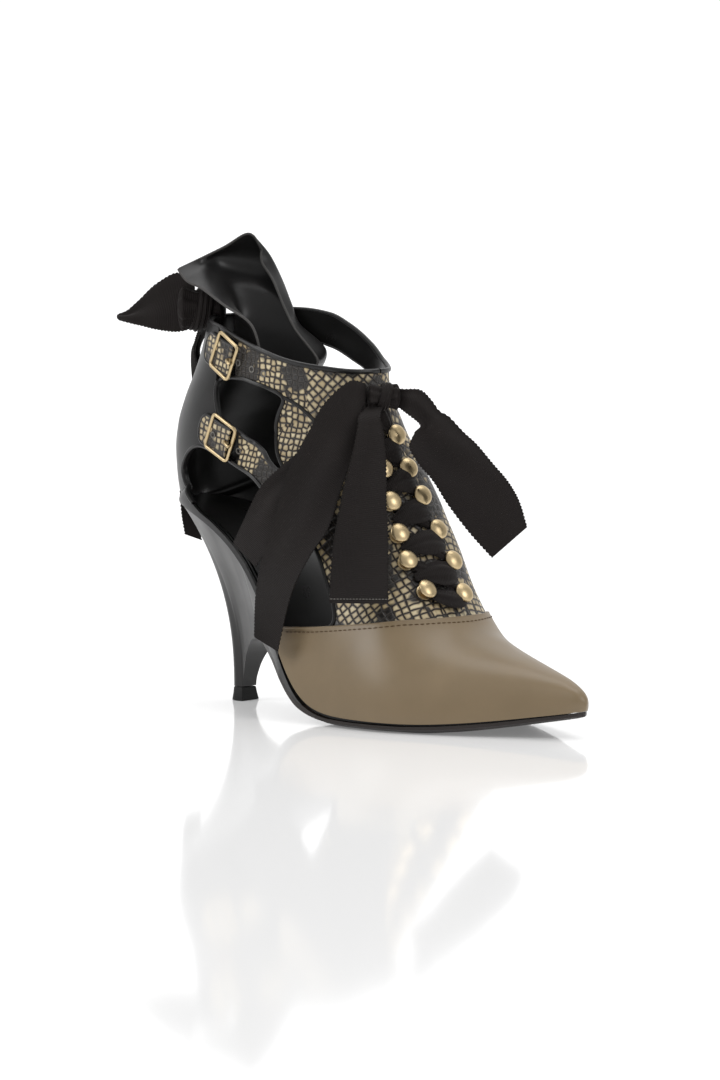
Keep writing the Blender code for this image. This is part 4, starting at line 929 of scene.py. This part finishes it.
def stitch_row(path, normals, pitch, size, thick):
    """Small raised stitches along a path."""
    far = np.concatenate([[0], np.cumsum(np.linalg.norm(np.diff(path, axis=0), axis=1))])
    parts = []
    for at in np.arange(pitch / 2, far[-1], pitch):
        line = []
        up = []
        for t in np.linspace(-0.5, 0.5, 5):
            place = np.clip(at + t * size, 0, far[-1])
            n = np.array([np.interp(place, far, normals[:, k]) for k in range(3)])
            p = np.array([np.interp(place, far, path[:, k]) for k in range(3)])
            line.append(p + n * thick * (0.55 - 1.7 * t * t))
            up.append(n)
        parts.append(rings(line, thick * np.array([0.5, 0.9, 1.0, 0.9, 0.5]), 6, up=np.array(up)))
    return joined(parts)


# Toe cap, upper, lining and counter.

def make_leathers():
    ankle = np.linspace(SEAT_ROW, LAST_ROW - 0.2, 81)[1:]
    rows_toe = np.concatenate([np.linspace(0, 2, 25), np.linspace(2, 13.4, 115)[1:]])
    rows_all = np.concatenate([np.linspace(3, SEAT_ROW, 161), ankle])
    rows_back = np.concatenate([np.linspace(10.5, SEAT_ROW, 121), ankle])
    rows_in = np.concatenate([np.linspace(0, 3, 30), rows_all[1:]])
    places = np.linspace(-1, 1, 129)
    shank_x, shank_lift = 110, 2.5

    def cap_top(p, q):
        """Outer face of the toe cap, with its soft hollow."""
        x, z, wide, tall, depth = CAP_DENT
        far = ((p[:, 0] - x) / wide)**2 + ((p[:, 2] - z) / tall)**2
        return OVERLAY - depth * np.exp(-far) * (q < 0)

    def cap_field(p, q):
        return outside(ABOVE_CAP, p[..., 0], p[..., 2])

    def rim_field(p):
        """Positive on the narrow black edge that the open waist leaves above the heel and the shank."""
        return np.minimum(RIM + 0.8 - (p[..., 2] - bottom_z(p[..., 0], p[..., 1])), CAP_EDGE[1][0] - p[..., 0])

    def upper_field(p, q):
        """Positive on the upper, which ends under the cap and the counter and clear of the cap's back edge."""
        under_cap = UNDERLAP - outside(ABOVE_CAP, p[..., 0], p[..., 2])
        under_counter = p[..., 0] - COUNTER_FRONT + UNDERLAP
        behind = np.maximum(p[..., 2] - CAP_CORNER[1] - 0.6, p[..., 0] - CAP_CORNER[0] - 2)
        lowest = np.maximum(p[..., 2] - bottom_z(p[..., 0], p[..., 1]) - shank_lift, p[..., 0] - shank_x)
        edges = [open_field(p, q), under_cap, under_counter, behind, lowest, 0.5 - rim_field(p)]
        return np.minimum.reduce(edges)

    def counter_field(p, q):
        return np.minimum(open_field(p, q), np.maximum(COUNTER_FRONT - p[..., 0], rim_field(p)))

    panel("toe_cap", 0.05, cap_top, cap_field, rows_toe, np.clip(places, -0.985, 0.985), TAN,
          ["toe_cap"])
    panel("upper", -WALL / 2, 0.0, upper_field, rows_all, places, PYTHON, ["upper"])
    panel("lining", -WALL, -WALL / 2 - 0.02, open_field, rows_in, np.linspace(-1, 1, 97), LINING)
    panel("counter", 0.05, OVERLAY, counter_field, rows_back, places, BLACK, ["counter"])


def on_last(line, side, out):
    """Points above the last along a line in side view, and the normals there."""
    s, q = find_on_last(line[:, 0], line[:, 1], side)
    return last_offset(s, q, np.full(len(s), out)), last_normal(s, q)


def last_true_row(q, first, last, test):
    """Rows of the last, one for each q, up to which a test of the points is true, found by halving."""
    low = np.full(len(q), float(first))
    high = np.full(len(q), float(last))
    for _ in range(40):
        s = (low + high) / 2
        true = test(last_point(s, q))
        low = np.where(true, s, low)
        high = np.where(true, high, s)
    return low


def cap_line(below, out):
    """Line on the toe cap at one distance below its top edge, from outside over the ridge to inside."""
    q = np.linspace(-0.95, 0.95, 381)
    s = last_true_row(q, 1, 14, lambda p: outside(ABOVE_CAP, p[:, 0], p[:, 2]) > below)
    p = last_point(s, q)
    keep = (p[:, 2] > CAP_CORNER[1] - below - 0.5) & (p[:, 0] > CAP_CORNER[0] + below)
    s, q = s[keep], q[keep]
    return last_offset(s, q, np.full(len(s), out)), last_normal(s, q)


def make_cap_trim():
    points, faces = stitch_row(*cap_line(CAP_STITCH_INSET, OVERLAY - 0.05), 2.6, 1.9, 0.26)
    add_mesh("cap_stitches", points, faces, THREAD)
    path, normals = cap_line(0.25, OVERLAY - 0.45)
    points, faces = rings(path, 0.55, 8, up=normals)
    add_mesh("cap_edge", points, faces, TAN)


def collar_path(out):
    """Line along the collar, from the outer front over the back to the inner front."""
    q = np.concatenate([np.linspace(0.0, -1, 120), np.linspace(1, 0.0, 120)[1:]])
    s = last_true_row(q, SEAT_ROW + 0.5, LAST_ROW - 0.1, lambda p: p[:, 2] < collar_z(p[:, 0], p[:, 1]))
    return last_offset(s, q, np.full(len(q), out))


def make_piping():
    spacing, sides, lift = 0.8, 8, 0.35
    parts = []
    for side in (-1, 1):
        window, waist = OPEN[side]
        for line in (np.vstack([window, window[:1]]), waist[:-len(WAIST_RIM_X) - 6]):
            path, normals = on_last(even(line, spacing), side, 0.0)
            out = np.where(path[:, 0] < COUNTER_FRONT + 1, lift, -lift)
            parts.append(rings(path + normals * out[:, None], 1.05, sides, up=normals, flatten=1.25))
    path, normals = on_last(even(rounded(WING_SEAM, closed=False, steps=6), spacing), -1, -0.1)
    parts.append(rings(path, 0.95, sides, up=normals, flatten=0.8))
    parts.append(rings(even(collar_path(0.0), spacing)[:-1], 1.15, sides))
    points, faces = joined(parts)
    add_mesh("piping", points, faces, PIPE)


# Insole, outsole, heel and top piece.

def make_insole():
    xs = np.concatenate([[0.5, 1.5, 3, 5, 8, 12, 17], np.linspace(22, 226, 110), [228, 229.5]])
    places = np.linspace(0, 1, 25)
    crown = 0.7 * (1 - np.abs(2 * places - 1)**4)
    toe_inset = 5.5
    grid = []
    for x in xs:
        here = np.full(len(places), INSOLE_INSET + x * (LENGTH - INSOLE_INSET - toe_inset) / LENGTH)
        low = -(float(half_width(x, -1)) - INSOLE_INSET)
        high = float(half_width(x, 1)) - INSOLE_INSET
        y = low + (high - low) * places
        grid.append(np.stack([here, y, bottom_z(here, y) + INSOLE_LIFT + crown], -1))
    points, faces = two_skins(np.array(grid), np.array([0.0, 0.0, 1.0]), 0.0, INSOLE_THICK - 0.5)
    add_mesh("insole", points, faces, LINING, ["insole"], angle=35)


def sole_half(x, side):
    inner = float(half_width(min(x, LENGTH) if x < 228 else x - SOLE_MARGIN, side)) + SOLE_MARGIN
    return min(inner, float(smooth(SHANK_HALF, x)))


def sole_edge_z(x, y):
    return float(smooth(SOLE_LINE, x) + smooth(BOTTOM_TILT, x) * (y + sole_half(x, -1)))


def sole_top_z(x, y):
    full = float(bottom_z(x, y)) - SEAT_GAP
    thin = sole_edge_z(x, y) + SHANK_SOLE
    share = min(max((x - WEDGE_THIN) / (WEDGE_FULL - WEDGE_THIN), 0.0), 1.0)
    return min(full, thin + (full - thin) * share)


def make_outsole():
    xs = np.concatenate([np.linspace(58, 130, 60), np.linspace(130, 226, 60)[1:],
                         np.linspace(226, SOLE_END, 16)[1:]])
    points = []
    for x in xs:
        yo = -sole_half(x, -1)
        yi = sole_half(x, 1)
        wide = yi - yo
        inset = min(TREAD_INSET, 0.3 * wide)
        tread = float(smooth(TREAD_LINE, x))
        tilt = float(smooth(BOTTOM_TILT, x))
        row = []
        for f in np.linspace(0, 1, 9):
            y = yo + wide * f
            row.append((x, y, sole_top_z(x, y)))
        for f in np.linspace(1, 0, 15):
            y = yo + wide * f
            near = min(f, 1 - f) * wide
            edge = sole_edge_z(x, y)
            flat = tread + tilt * (y - yo)
            t = min(near / max(inset, 0.01), 1.0)
            row.append((x, y, edge + (flat - edge) * (1 - (1 - t)**2)))
        points.append(row)
    points = np.array(points)
    points[..., 0] -= TIP_TUCK * np.clip((points[..., 0] - TUCK_FROM) / (SOLE_END - TUCK_FROM), 0, 1)**2
    faces = tube_faces(*points.shape[:2], turned=True)
    add_mesh("outsole", points.reshape(-1, 3), faces, SOLE, ["outsole"], angle=35)


def heel_ribs(side, numbers, steps):
    """Lines down one side of the heel, from the seat to the outsole or to the block's low edge."""
    out = []
    for number in numbers:
        tx, lx, lz, half, hollow = [float(smooth(HEEL_RIBS, number, c)) for c in range(1, 6)]
        ty = side * (float(half_width(tx, side)) + 0.8 * min(1.0, tx / 3))
        if number <= BREAST_RIB:
            ly = side * sole_half(lx, side)
            lz = sole_top_z(lx, ly) + 0.1
            edge = 0.0
        else:
            if number < BLOCK_RIB:
                share = (number - BREAST_NEXT) / (BLOCK_RIB - BREAST_NEXT)
                half = SHANK_HALF[0][1] + (HEEL_RIBS[BLOCK_RIB][4] - SHANK_HALF[0][1]) * share
                lz = HEEL_RIBS[BLOCK_RIB][3]
            ly = side * half
            edge = BREAST_ROUND * min(max(1 - (number - BLOCK_RIB) / 1.5, 0.0), 1.0)
        top_z = float(bottom_z(tx, ty)) - SEAT_GAP
        v = np.linspace(0, 1, steps + 1)
        g = 1 - (1 - v)**hollow
        rib = np.stack([tx + (lx - tx) * g, ty + (ly - ty) * g, top_z + (lz + edge - top_z) * v], -1)
        rib[-1, 2] = lz
        out.append(rib)
    return np.array(out)


def make_heel():
    numbers = np.concatenate([np.linspace(0, BREAST_RIB, 49), np.linspace(BREAST_NEXT, BLOCK_RIB, 5),
                              np.linspace(BLOCK_RIB, len(HEEL_RIBS) - 1, 73)[1:]])
    steps = 24
    outer = heel_ribs(-1, numbers, steps)
    inner = heel_ribs(1, numbers, steps)
    ribs = np.concatenate([outer, inner[-2::-1]])
    columns = steps + 1
    points = ribs.reshape(-1, 3)
    faces = [tuple(f) for f in grid_faces(len(ribs), columns)]
    last = len(ribs) - 1
    half = len(outer) - 1
    for k in range(half):
        for edge in (0, steps):
            a, b, c, d = k, k + 1, last - k - 1, last - k
            ring = [a, b, c, d] if b != c else [a, b, d]
            ring = [r * columns + edge for r in ring]
            faces.append(tuple(ring if edge else ring[::-1]))
    front = list(range(columns)) + list(range(last * columns, (last + 1) * columns))[::-1]
    faces.append(tuple(front[::-1]))
    add_mesh("heel", points, faces, HEEL_BLACK, ["heel"], angle=38)

    around = 25
    tip = np.concatenate([outer[-around:, -1], inner[-2:-around:-1, -1]])[:, :2]
    centre = tip.mean(axis=0)
    rows = []
    for grow, z in ((0.97, TOP_PIECE - 0.1), (1.02, TOP_PIECE - 0.5), (1.1, 3.2), (1.22, 0.5), (1.2, 0.15),
                    (1.14, 0.0)):
        ring = centre + (tip - centre) * grow
        rows.append(np.column_stack([ring, np.full(len(ring), z)]))
    points = np.array(rows)
    faces = tube_faces(*points.shape[:2], turned=True)
    add_mesh("top_piece", points.reshape(-1, 3), faces, RUBBER, ["top_piece"], angle=50)


# Hooks, buckles and straps.

def lathe(profile, sides):
    turn = np.linspace(0, 2 * math.pi, sides, endpoint=False)
    radius, height = np.array(profile, float).T[..., None]
    points = np.stack([radius * np.cos(turn), radius * np.sin(turn), height + 0 * turn], -1)
    return points.reshape(-1, 3), tube_faces(len(profile), sides)


def frame_at(s, q, out, turn=0.0):
    """Origin and three axes on the last: along the side view, turned, across, and outward."""
    centre = last_offset(s, q, np.asarray(out, float))
    n = last_normal(s, q)
    along = np.array([math.cos(turn), 0, math.sin(turn)])
    along = along - n * (along @ n)
    along /= np.linalg.norm(along)
    return centre, np.stack([along, np.cross(n, along), n])


def frame_on_side(x, z, out, turn=0.0):
    """The same at x, z on the outer side."""
    s, q = find_on_last(x, z, -1)
    return frame_at(float(s[0]), float(q[0]), out, turn)


def placed(points, place):
    centre, axes = place
    return np.asarray(points, float) @ axes + centre


def make_hooks():
    base, base_faces = lathe(HOOK_BASE, 24)
    dome, dome_faces = lathe(HOOK_DOME, 32)
    dome = dome * np.array([1.0, 0.94, 1.0])
    for number, (outer_row, outer_q, inner_row, inner_q) in enumerate(HOOKS, 1):
        for label, row, q, side in (("outer", outer_row, outer_q, -1), ("inner", inner_row, inner_q, 1)):
            place = frame_at(row, q, 0.1, math.radians(-35))
            tilt = Matrix.Rotation(math.radians(10 * side), 3, "X")
            cap = np.array([tilt @ Vector(p) for p in dome])
            points, faces = joined([(placed(base, place), base_faces), (placed(cap, place), dome_faces)])
            name = f"hook_{label}_{number}"
            add_mesh(name, points, faces, GOLD, [name], angle=50)


def make_buckles():
    for label, x, z, turn in BUCKLES:
        place = frame_on_side(x, z, 2.8, math.radians(turn))
        (w, h), r = BUCKLE_HALF, BUCKLE_CORNER
        path = []
        for cx, cy, a0 in ((w - r, h - r, 0), (-w + r, h - r, 90), (-w + r, -h + r, 180), (w - r, -h + r, 270)):
            for a in np.linspace(a0, a0 + 90, 7):
                path.append((cx + r * math.cos(math.radians(a)), cy + r * math.sin(math.radians(a)), 0))
        path = np.array(path)
        path[:, 2] = -0.012 * path[:, 0]**2
        up = np.broadcast_to(np.array([0.0, 0.0, 1.0]), path.shape)
        wire, faces = rings(path, BUCKLE_WIRE, 12, closed=True, flatten=0.9, up=up)
        add_mesh(f"buckle_{label}", placed(wire, place), faces, GOLD, [f"buckle_{label}"], angle=60)
        pin = rounded(PRONG, closed=False, steps=5)
        size = np.interp(np.linspace(0, 1, len(pin)), [0, 0.8, 1], [0.7, 0.75, 0.6])
        wire, faces = rings(pin, size, 10)
        add_mesh(f"prong_{label}", placed(wire, place), faces, GOLD, [f"prong_{label}"], angle=60)


def make_straps():
    """Rounded strap tips with their piped edges, and the rings of the holes."""
    fs, gs = np.linspace(0, 1, 40), np.linspace(-1, 1, 17)
    t = np.maximum(0.0, (fs - 0.78) / 0.22)
    half = STRAP_WIDTH / 2 * np.sqrt(np.maximum(0.04, 1 - t**2.4))[:, None] * gs
    for label, x0, z0, x1, z1 in STRAP_TIPS:
        along = np.array([x1 - x0, z1 - z0])
        length = np.linalg.norm(along)
        across = np.array([-along[1], along[0]]) / length
        side = np.array([x0, z0]) + along * fs[:, None, None] + across * half[..., None]
        s, q = find_on_last(side[..., 0].ravel(), side[..., 1].ravel(), -1)
        grid = last_offset(s, q, np.full(len(s), 1.45)).reshape(*half.shape, 3)
        n = last_normal(s, q).reshape(grid.shape)
        points, faces = two_skins(grid, n, -0.1, 0.9)
        flat = np.stack([x0 - fs[:, None] * length + 0 * half, z0 + half], -1).reshape(-1, 2)
        add_mesh(f"strap_tip_{label}", points, faces, PYTHON, [f"strap_tip_{label}"],
                 flat=np.vstack([flat, flat]), angle=50, tone=np.zeros(len(points)))
        rim, rim_n = [np.concatenate([a[:, 0], a[-1, 1:-1], a[::-1, -1]]) for a in (grid, n)]
        points, faces = rings(rim + rim_n * 0.4, 0.75, 8, up=rim_n)
        add_mesh(f"strap_edge_{label}", points, faces, PIPE)
    turn = np.linspace(0, 2 * math.pi, 20, endpoint=False)
    circle = HOLE_RADIUS * np.stack([np.cos(turn), np.sin(turn), 0 * turn], -1)
    ring, ring_faces = rings(circle, 0.32, 6, closed=True)
    parts = []
    for x, z, lift in STRAP_HOLES:
        parts.append((placed(ring, frame_on_side(x, z, 0.08 + lift)), ring_faces))
    points, faces = joined(parts)
    add_mesh("strap_holes", points, faces, GREY)


# Lace, ribbons, knots and flounce.

def strand(a, b, lift, width, phase, bow=0.0, pleat=0.3, skew=1.0):
    """Bunched ribbon from one place on the last to another, narrow at its ends, with soft pleats along it."""
    t = np.linspace(0, 1, 41)
    s = a[0] + (b[0] - a[0]) * t + bow * np.sin(math.pi * t)
    q = a[1] + (b[1] - a[1]) * t
    puff = np.sin(math.pi * t**skew)**0.75
    path = last_offset(s, q, 1.4 + lift * puff)
    n = last_normal(s, q)
    tangent = np.gradient(path, axis=0)
    tangent /= np.linalg.norm(tangent, axis=1, keepdims=True)
    side = np.cross(n, tangent)
    grid = []
    for g in np.linspace(-1, 1, 25):
        wave = math.sin(5.1 * g + 2.3 * phase) + 0.6 * math.sin(9.7 * g + 5.1 * phase)
        fold = pleat * wave * (0.35 + 0.65 * puff) * (1 + 0.3 * np.sin(5 * t + 3 * phase))
        crown = (1.5 * (1 - g * g) - 0.5) * puff
        ragged = 1 + (0.07 * np.sin(7 * t + 4 * phase + (2 if g > 0 else 0)) + 0.02 * np.sin(61 * t)) * abs(g)
        half = (width[0] + (width[1] - width[0]) * puff) * ragged
        grid.append(path + side * (half * g)[:, None] + n * (fold + crown)[:, None])
    grid = np.array(grid).transpose(1, 0, 2)
    normals = grid_normals(grid)
    normals *= np.sign(np.sum(normals * n[:, None, :], axis=-1, keepdims=True))
    return *two_skins(grid, normals, -0.22, 0.22), pattern(grid)


def make_lace():
    """Crossing strands and a full bar between two pairs of hooks, a lowest bar, and two ends to the knot."""
    row, tuck, end = 0.1, 0.012, 1.6
    knot_row = 17.4
    strands = []
    for k, ((s0, l0, t0, r0), (s1, l1, t1, r1)) in enumerate(zip(HOOKS, HOOKS[1:])):
        left = ((s0 + s1) / 2 - 0.05, (l0 + l1) / 2 - 0.005)
        right = ((t0 + t1) / 2 + 0.05, (r0 + r1) / 2 + 0.005)
        strands += [
            strand((s0 - row, l0 + tuck), (t1 + row, r1 - tuck), 0.3, (end, 3.2), 0.3 + 0.7 * k),
            strand((t0 - row, r0 - tuck), (s1 + row, l1 + tuck), 0.6, (end, 3.2), 1.1 + 0.5 * k),
            strand(left, right, 2.2, (end, 5.6 + 0.12 * k), 0.6 + 1.3 * k, pleat=0.35, skew=1.45),
        ]
    s, l, t, r = HOOKS[-1]
    lowest = (s - row, l + tuck), (t - 0.25, r + 0.01)
    strands.append(strand(*lowest, 1.6, (1.0, 4.6), 0.4, bow=-0.25, pleat=0.25))
    s, l, t, r = HOOKS[0]
    strands.append(strand((s, l + 0.02), (knot_row, -0.1), 1.2, (end, 3.4), 0.2))
    strands.append(strand((t, r - 0.02), (knot_row, -0.07), 1.6, (end, 3.4), 0.9))
    points, faces = joined([part[:2] for part in strands])
    flat = np.vstack([part[2] for part in strands])
    add_mesh("lace", points, faces, RIBBON, ["lace"], flat=flat, angle=60)


def ribbon(name, table, fold, hem):
    """Ribbon between two edges, with small picots along both."""
    rows = np.array(table, float)
    left = rounded(rows[:, :3], closed=False, steps=24)
    right = rounded(rows[:, 3:], closed=False, steps=24)
    far = np.concatenate([[0], np.cumsum(np.linalg.norm(np.diff((left + right) / 2, axis=0), axis=1))])
    at = np.linspace(0, far[-1], int(far[-1] / RIBBON_STEP))
    left = np.stack([np.interp(at, far, left[:, k]) for k in range(3)], -1)
    right = np.stack([np.interp(at, far, right[:, k]) for k in range(3)], -1)
    places = np.concatenate([[0.0], np.linspace(0.02, 0.98, 19), [1.0]])
    grid = left[:, None, :] + (right - left)[:, None, :] * places[None, :, None]
    normals = grid_normals(grid)
    t = (at / far[-1])[:, None]
    wave = fold * np.sin(math.pi * (3 * places[None, :] + 1.5 * t)) * np.sin(math.pi * np.clip(t * 1.3, 0, 1))
    grid = grid + normals * wave[..., None]
    unit = (right - left) / np.linalg.norm(right - left, axis=1)[:, None]
    height, pitch = PICOT
    scallop = height * np.abs(np.sin(math.pi * at / pitch))[:, None]
    grid[:, 0] -= unit * scallop
    grid[:, -1] += unit * scallop
    obj, area, length = cloth(name, grid, 0.2, RIBBON)
    if hem:
        k = -int(hem / RIBBON_STEP)
        up = grid_normals(grid)[k]
        path = even(grid[k] + up * 0.25, 0.5)
        points, faces = stitch_row(path, np.broadcast_to(up.mean(axis=0), path.shape), 1.5, 1.15, 0.16)
        add_mesh(name + "_hem", points, faces, GREY)


def make_knot(name, at, size):
    """Ribbon knot: a pleated gather that flares to both ends, with a slack band wound over its middle."""
    rows, sides = 41, 96
    around = np.linspace(0, 2 * math.pi, sides, endpoint=False)
    far, turn = np.meshgrid(np.linspace(-1, 1, rows), around, indexing="ij")
    end = np.clip((1 - np.abs(far)) / 0.22, 0, 1)**0.5
    pleat = 0.09 * np.sin(9 * turn + 2.2 * far) + 0.06 * np.sin(5 * turn - 3.1 * far + 1)
    radius = (0.70 + 0.26 * far**2 + pleat * (0.5 + 0.5 * far**2)) * (0.25 + 0.75 * end)
    gather = np.stack([far, radius * np.cos(turn), radius * np.sin(turn)], -1)
    wound, sides_wound = 15, 72
    around = np.linspace(0, 2 * math.pi, sides_wound, endpoint=False)
    wide, turn = np.meshgrid(np.linspace(-1, 1, wound), around, indexing="ij")
    slack = 0.86 + 0.1 * (1 - wide * wide) + 0.035 * np.sin(3.5 * wide * 3 + 2 * np.sin(turn))
    lean = 0.34 * wide + 0.24 * np.sin(turn + 0.6)
    band = np.stack([lean, slack * np.cos(turn), slack * np.sin(turn)], -1).reshape(-1, 3)
    n = len(band)
    skin = grid_faces(wound, sides_wound, closed=True)
    faces = [tuple(f) for f in skin] + [tuple(f[::-1] + n) for f in skin]
    for first in (0, n - sides_wound):
        for j in range(sides_wound):
            i, k = first + j, first + (j + 1) % sides_wound
            faces.append((i, k, k + n, i + n))
    points, faces = joined([(gather.reshape(-1, 3), tube_faces(rows, sides)),
                            (np.vstack([band, band * np.array([1, 0.93, 0.93])]), faces)])
    points = points * np.array(size)
    flat = np.stack([points[:, 2], points[:, 0] + 0.6 * points[:, 1]], -1)
    aside = np.array([RIGHT, (RIGHT[1], -RIGHT[0], 0), (0, 0, 1)])
    add_mesh(name, points @ aside + np.array(at), faces, RIBBON, [name], flat=flat, angle=50)


def make_ribbons():
    for name, table, held, rests, fold, hem in RIBBONS:
        ribbon(name, table, fold, hem)
    for knot in KNOTS:
        make_knot(*knot)


def make_flounce():
    rows = np.array(FLOUNCE_ROWS, float).reshape(-1, 4, 3)
    across = np.array([rounded(row, closed=False, steps=26) for row in rows])
    grid = np.array([rounded(across[:, k], closed=False, steps=16) for k in range(across.shape[1])])
    grid = grid.transpose(1, 0, 2)
    obj, area, length = cloth("flounce", grid, 0.5, BLACK)
    edge = np.concatenate([grid[:, 0], grid[-1, 1:], grid[-2::-1, -1]])
    points, faces = rings(even(edge, 0.9), 0.58, 8)
    trim = add_mesh("flounce_edge", points, faces, RAW)


# Studio and camera.

def make_stage():
    """Floor that curves up into a wall behind the shoe, with soft light from three sides, in metres."""
    mesh = bpy.data.meshes.new("floor")
    front, back, bend, height, half = -6.0, 2.2, 1.2, 5.0, 5.0
    line = [(front, 0.0), (back, 0.0)]
    for a in np.radians(np.linspace(0, 90, 13)[1:]):
        line.append((back + bend * math.sin(a), bend - bend * math.cos(a)))
    line.append((back + bend, height))
    away = np.array([-RIGHT[1], RIGHT[0], 0.0])
    points = []
    for side in (-half, half):
        points += [away * d + np.array(RIGHT) * side + np.array([0, 0, h]) for d, h in line]
    n = len(line)
    faces = [(k, k + 1, n + k + 1, n + k) for k in range(n - 1)]
    mesh.from_pydata([tuple(p) for p in points], [], faces)
    mesh.polygons.foreach_set("use_smooth", [True] * len(mesh.polygons))
    for name, glow in (("floor", 0.16), ("wall", 0.45)):
        mat = material(name, (0.93, 0.93, 0.93), 0.08, specular=0.5)
        shader = mat.node_tree.nodes["Principled BSDF"]
        shader.inputs["Emission Color"].default_value = (1, 1, 1, 1)
        shader.inputs["Emission Strength"].default_value = glow
        soft = noise(mat, coordinates(mat, 3.0), 2.0)
        to_shader(mat, ramp(mat, soft, [(0.3, 0.06), (0.7, 0.1)]), "Roughness")
        mesh.materials.append(mat)
    mesh.polygons.foreach_set("material_index", [0] + [1] * (len(mesh.polygons) - 1))
    floor = bpy.data.objects.new("floor", mesh)
    bpy.context.scene.collection.objects.link(floor)

    world = bpy.data.worlds.new("studio")
    world.use_nodes = True
    world.node_tree.nodes["Background"].inputs["Color"].default_value = (1, 1, 1, 1)
    world.node_tree.nodes["Background"].inputs["Strength"].default_value = 0.5
    bpy.context.scene.world = world

    def area(name, at, target, size, power):
        light = bpy.data.lights.new(name, "AREA")
        light.shape = "RECTANGLE"
        light.size, light.size_y = size
        light.energy = power
        obj = bpy.data.objects.new(name, light)
        obj.location = at
        obj.rotation_euler = (Vector(target) - Vector(at)).to_track_quat("-Z", "Y").to_euler()
        bpy.context.scene.collection.objects.link(obj)

    area("key", (-0.9, -1.5, 1.3), (-0.02, 0, 0.08), (0.9, 1.1), 14)
    area("fill", (1.7, 0.2, 1.0), (0.0, 0, 0.07), (0.8, 1.0), 9)
    area("top", (-0.1, 0.3, 1.7), (0, 0, 0.05), (1.4, 1.0), 10)


def make_camera():
    turn, pitch = math.radians(CAMERA_AZIMUTH), math.radians(CAMERA_PITCH)
    right = Vector((math.cos(turn), math.sin(turn), 0))
    forward = Vector((-math.sin(turn) * math.cos(pitch), math.cos(turn) * math.cos(pitch), -math.sin(pitch)))
    axes = Matrix((right, right.cross(forward), -forward)).transposed()
    cam = bpy.data.cameras.new("camera")
    cam.sensor_width = SENSOR
    cam.lens = FOCAL_PIXELS / PHOTO_HEIGHT * SENSOR
    obj = bpy.data.objects.new("camera", cam)
    obj.matrix_world = Matrix.Translation(CAMERA_AT) @ axes.to_4x4()
    bpy.context.scene.collection.objects.link(obj)
    bpy.context.scene.camera = obj
    bpy.context.scene.view_settings.view_transform = "Standard"


make_leathers()
make_cap_trim()
make_piping()
make_insole()
make_outsole()
make_heel()
make_hooks()
make_buckles()
make_straps()
make_lace()
make_ribbons()
make_flounce()
make_stage()
make_camera()
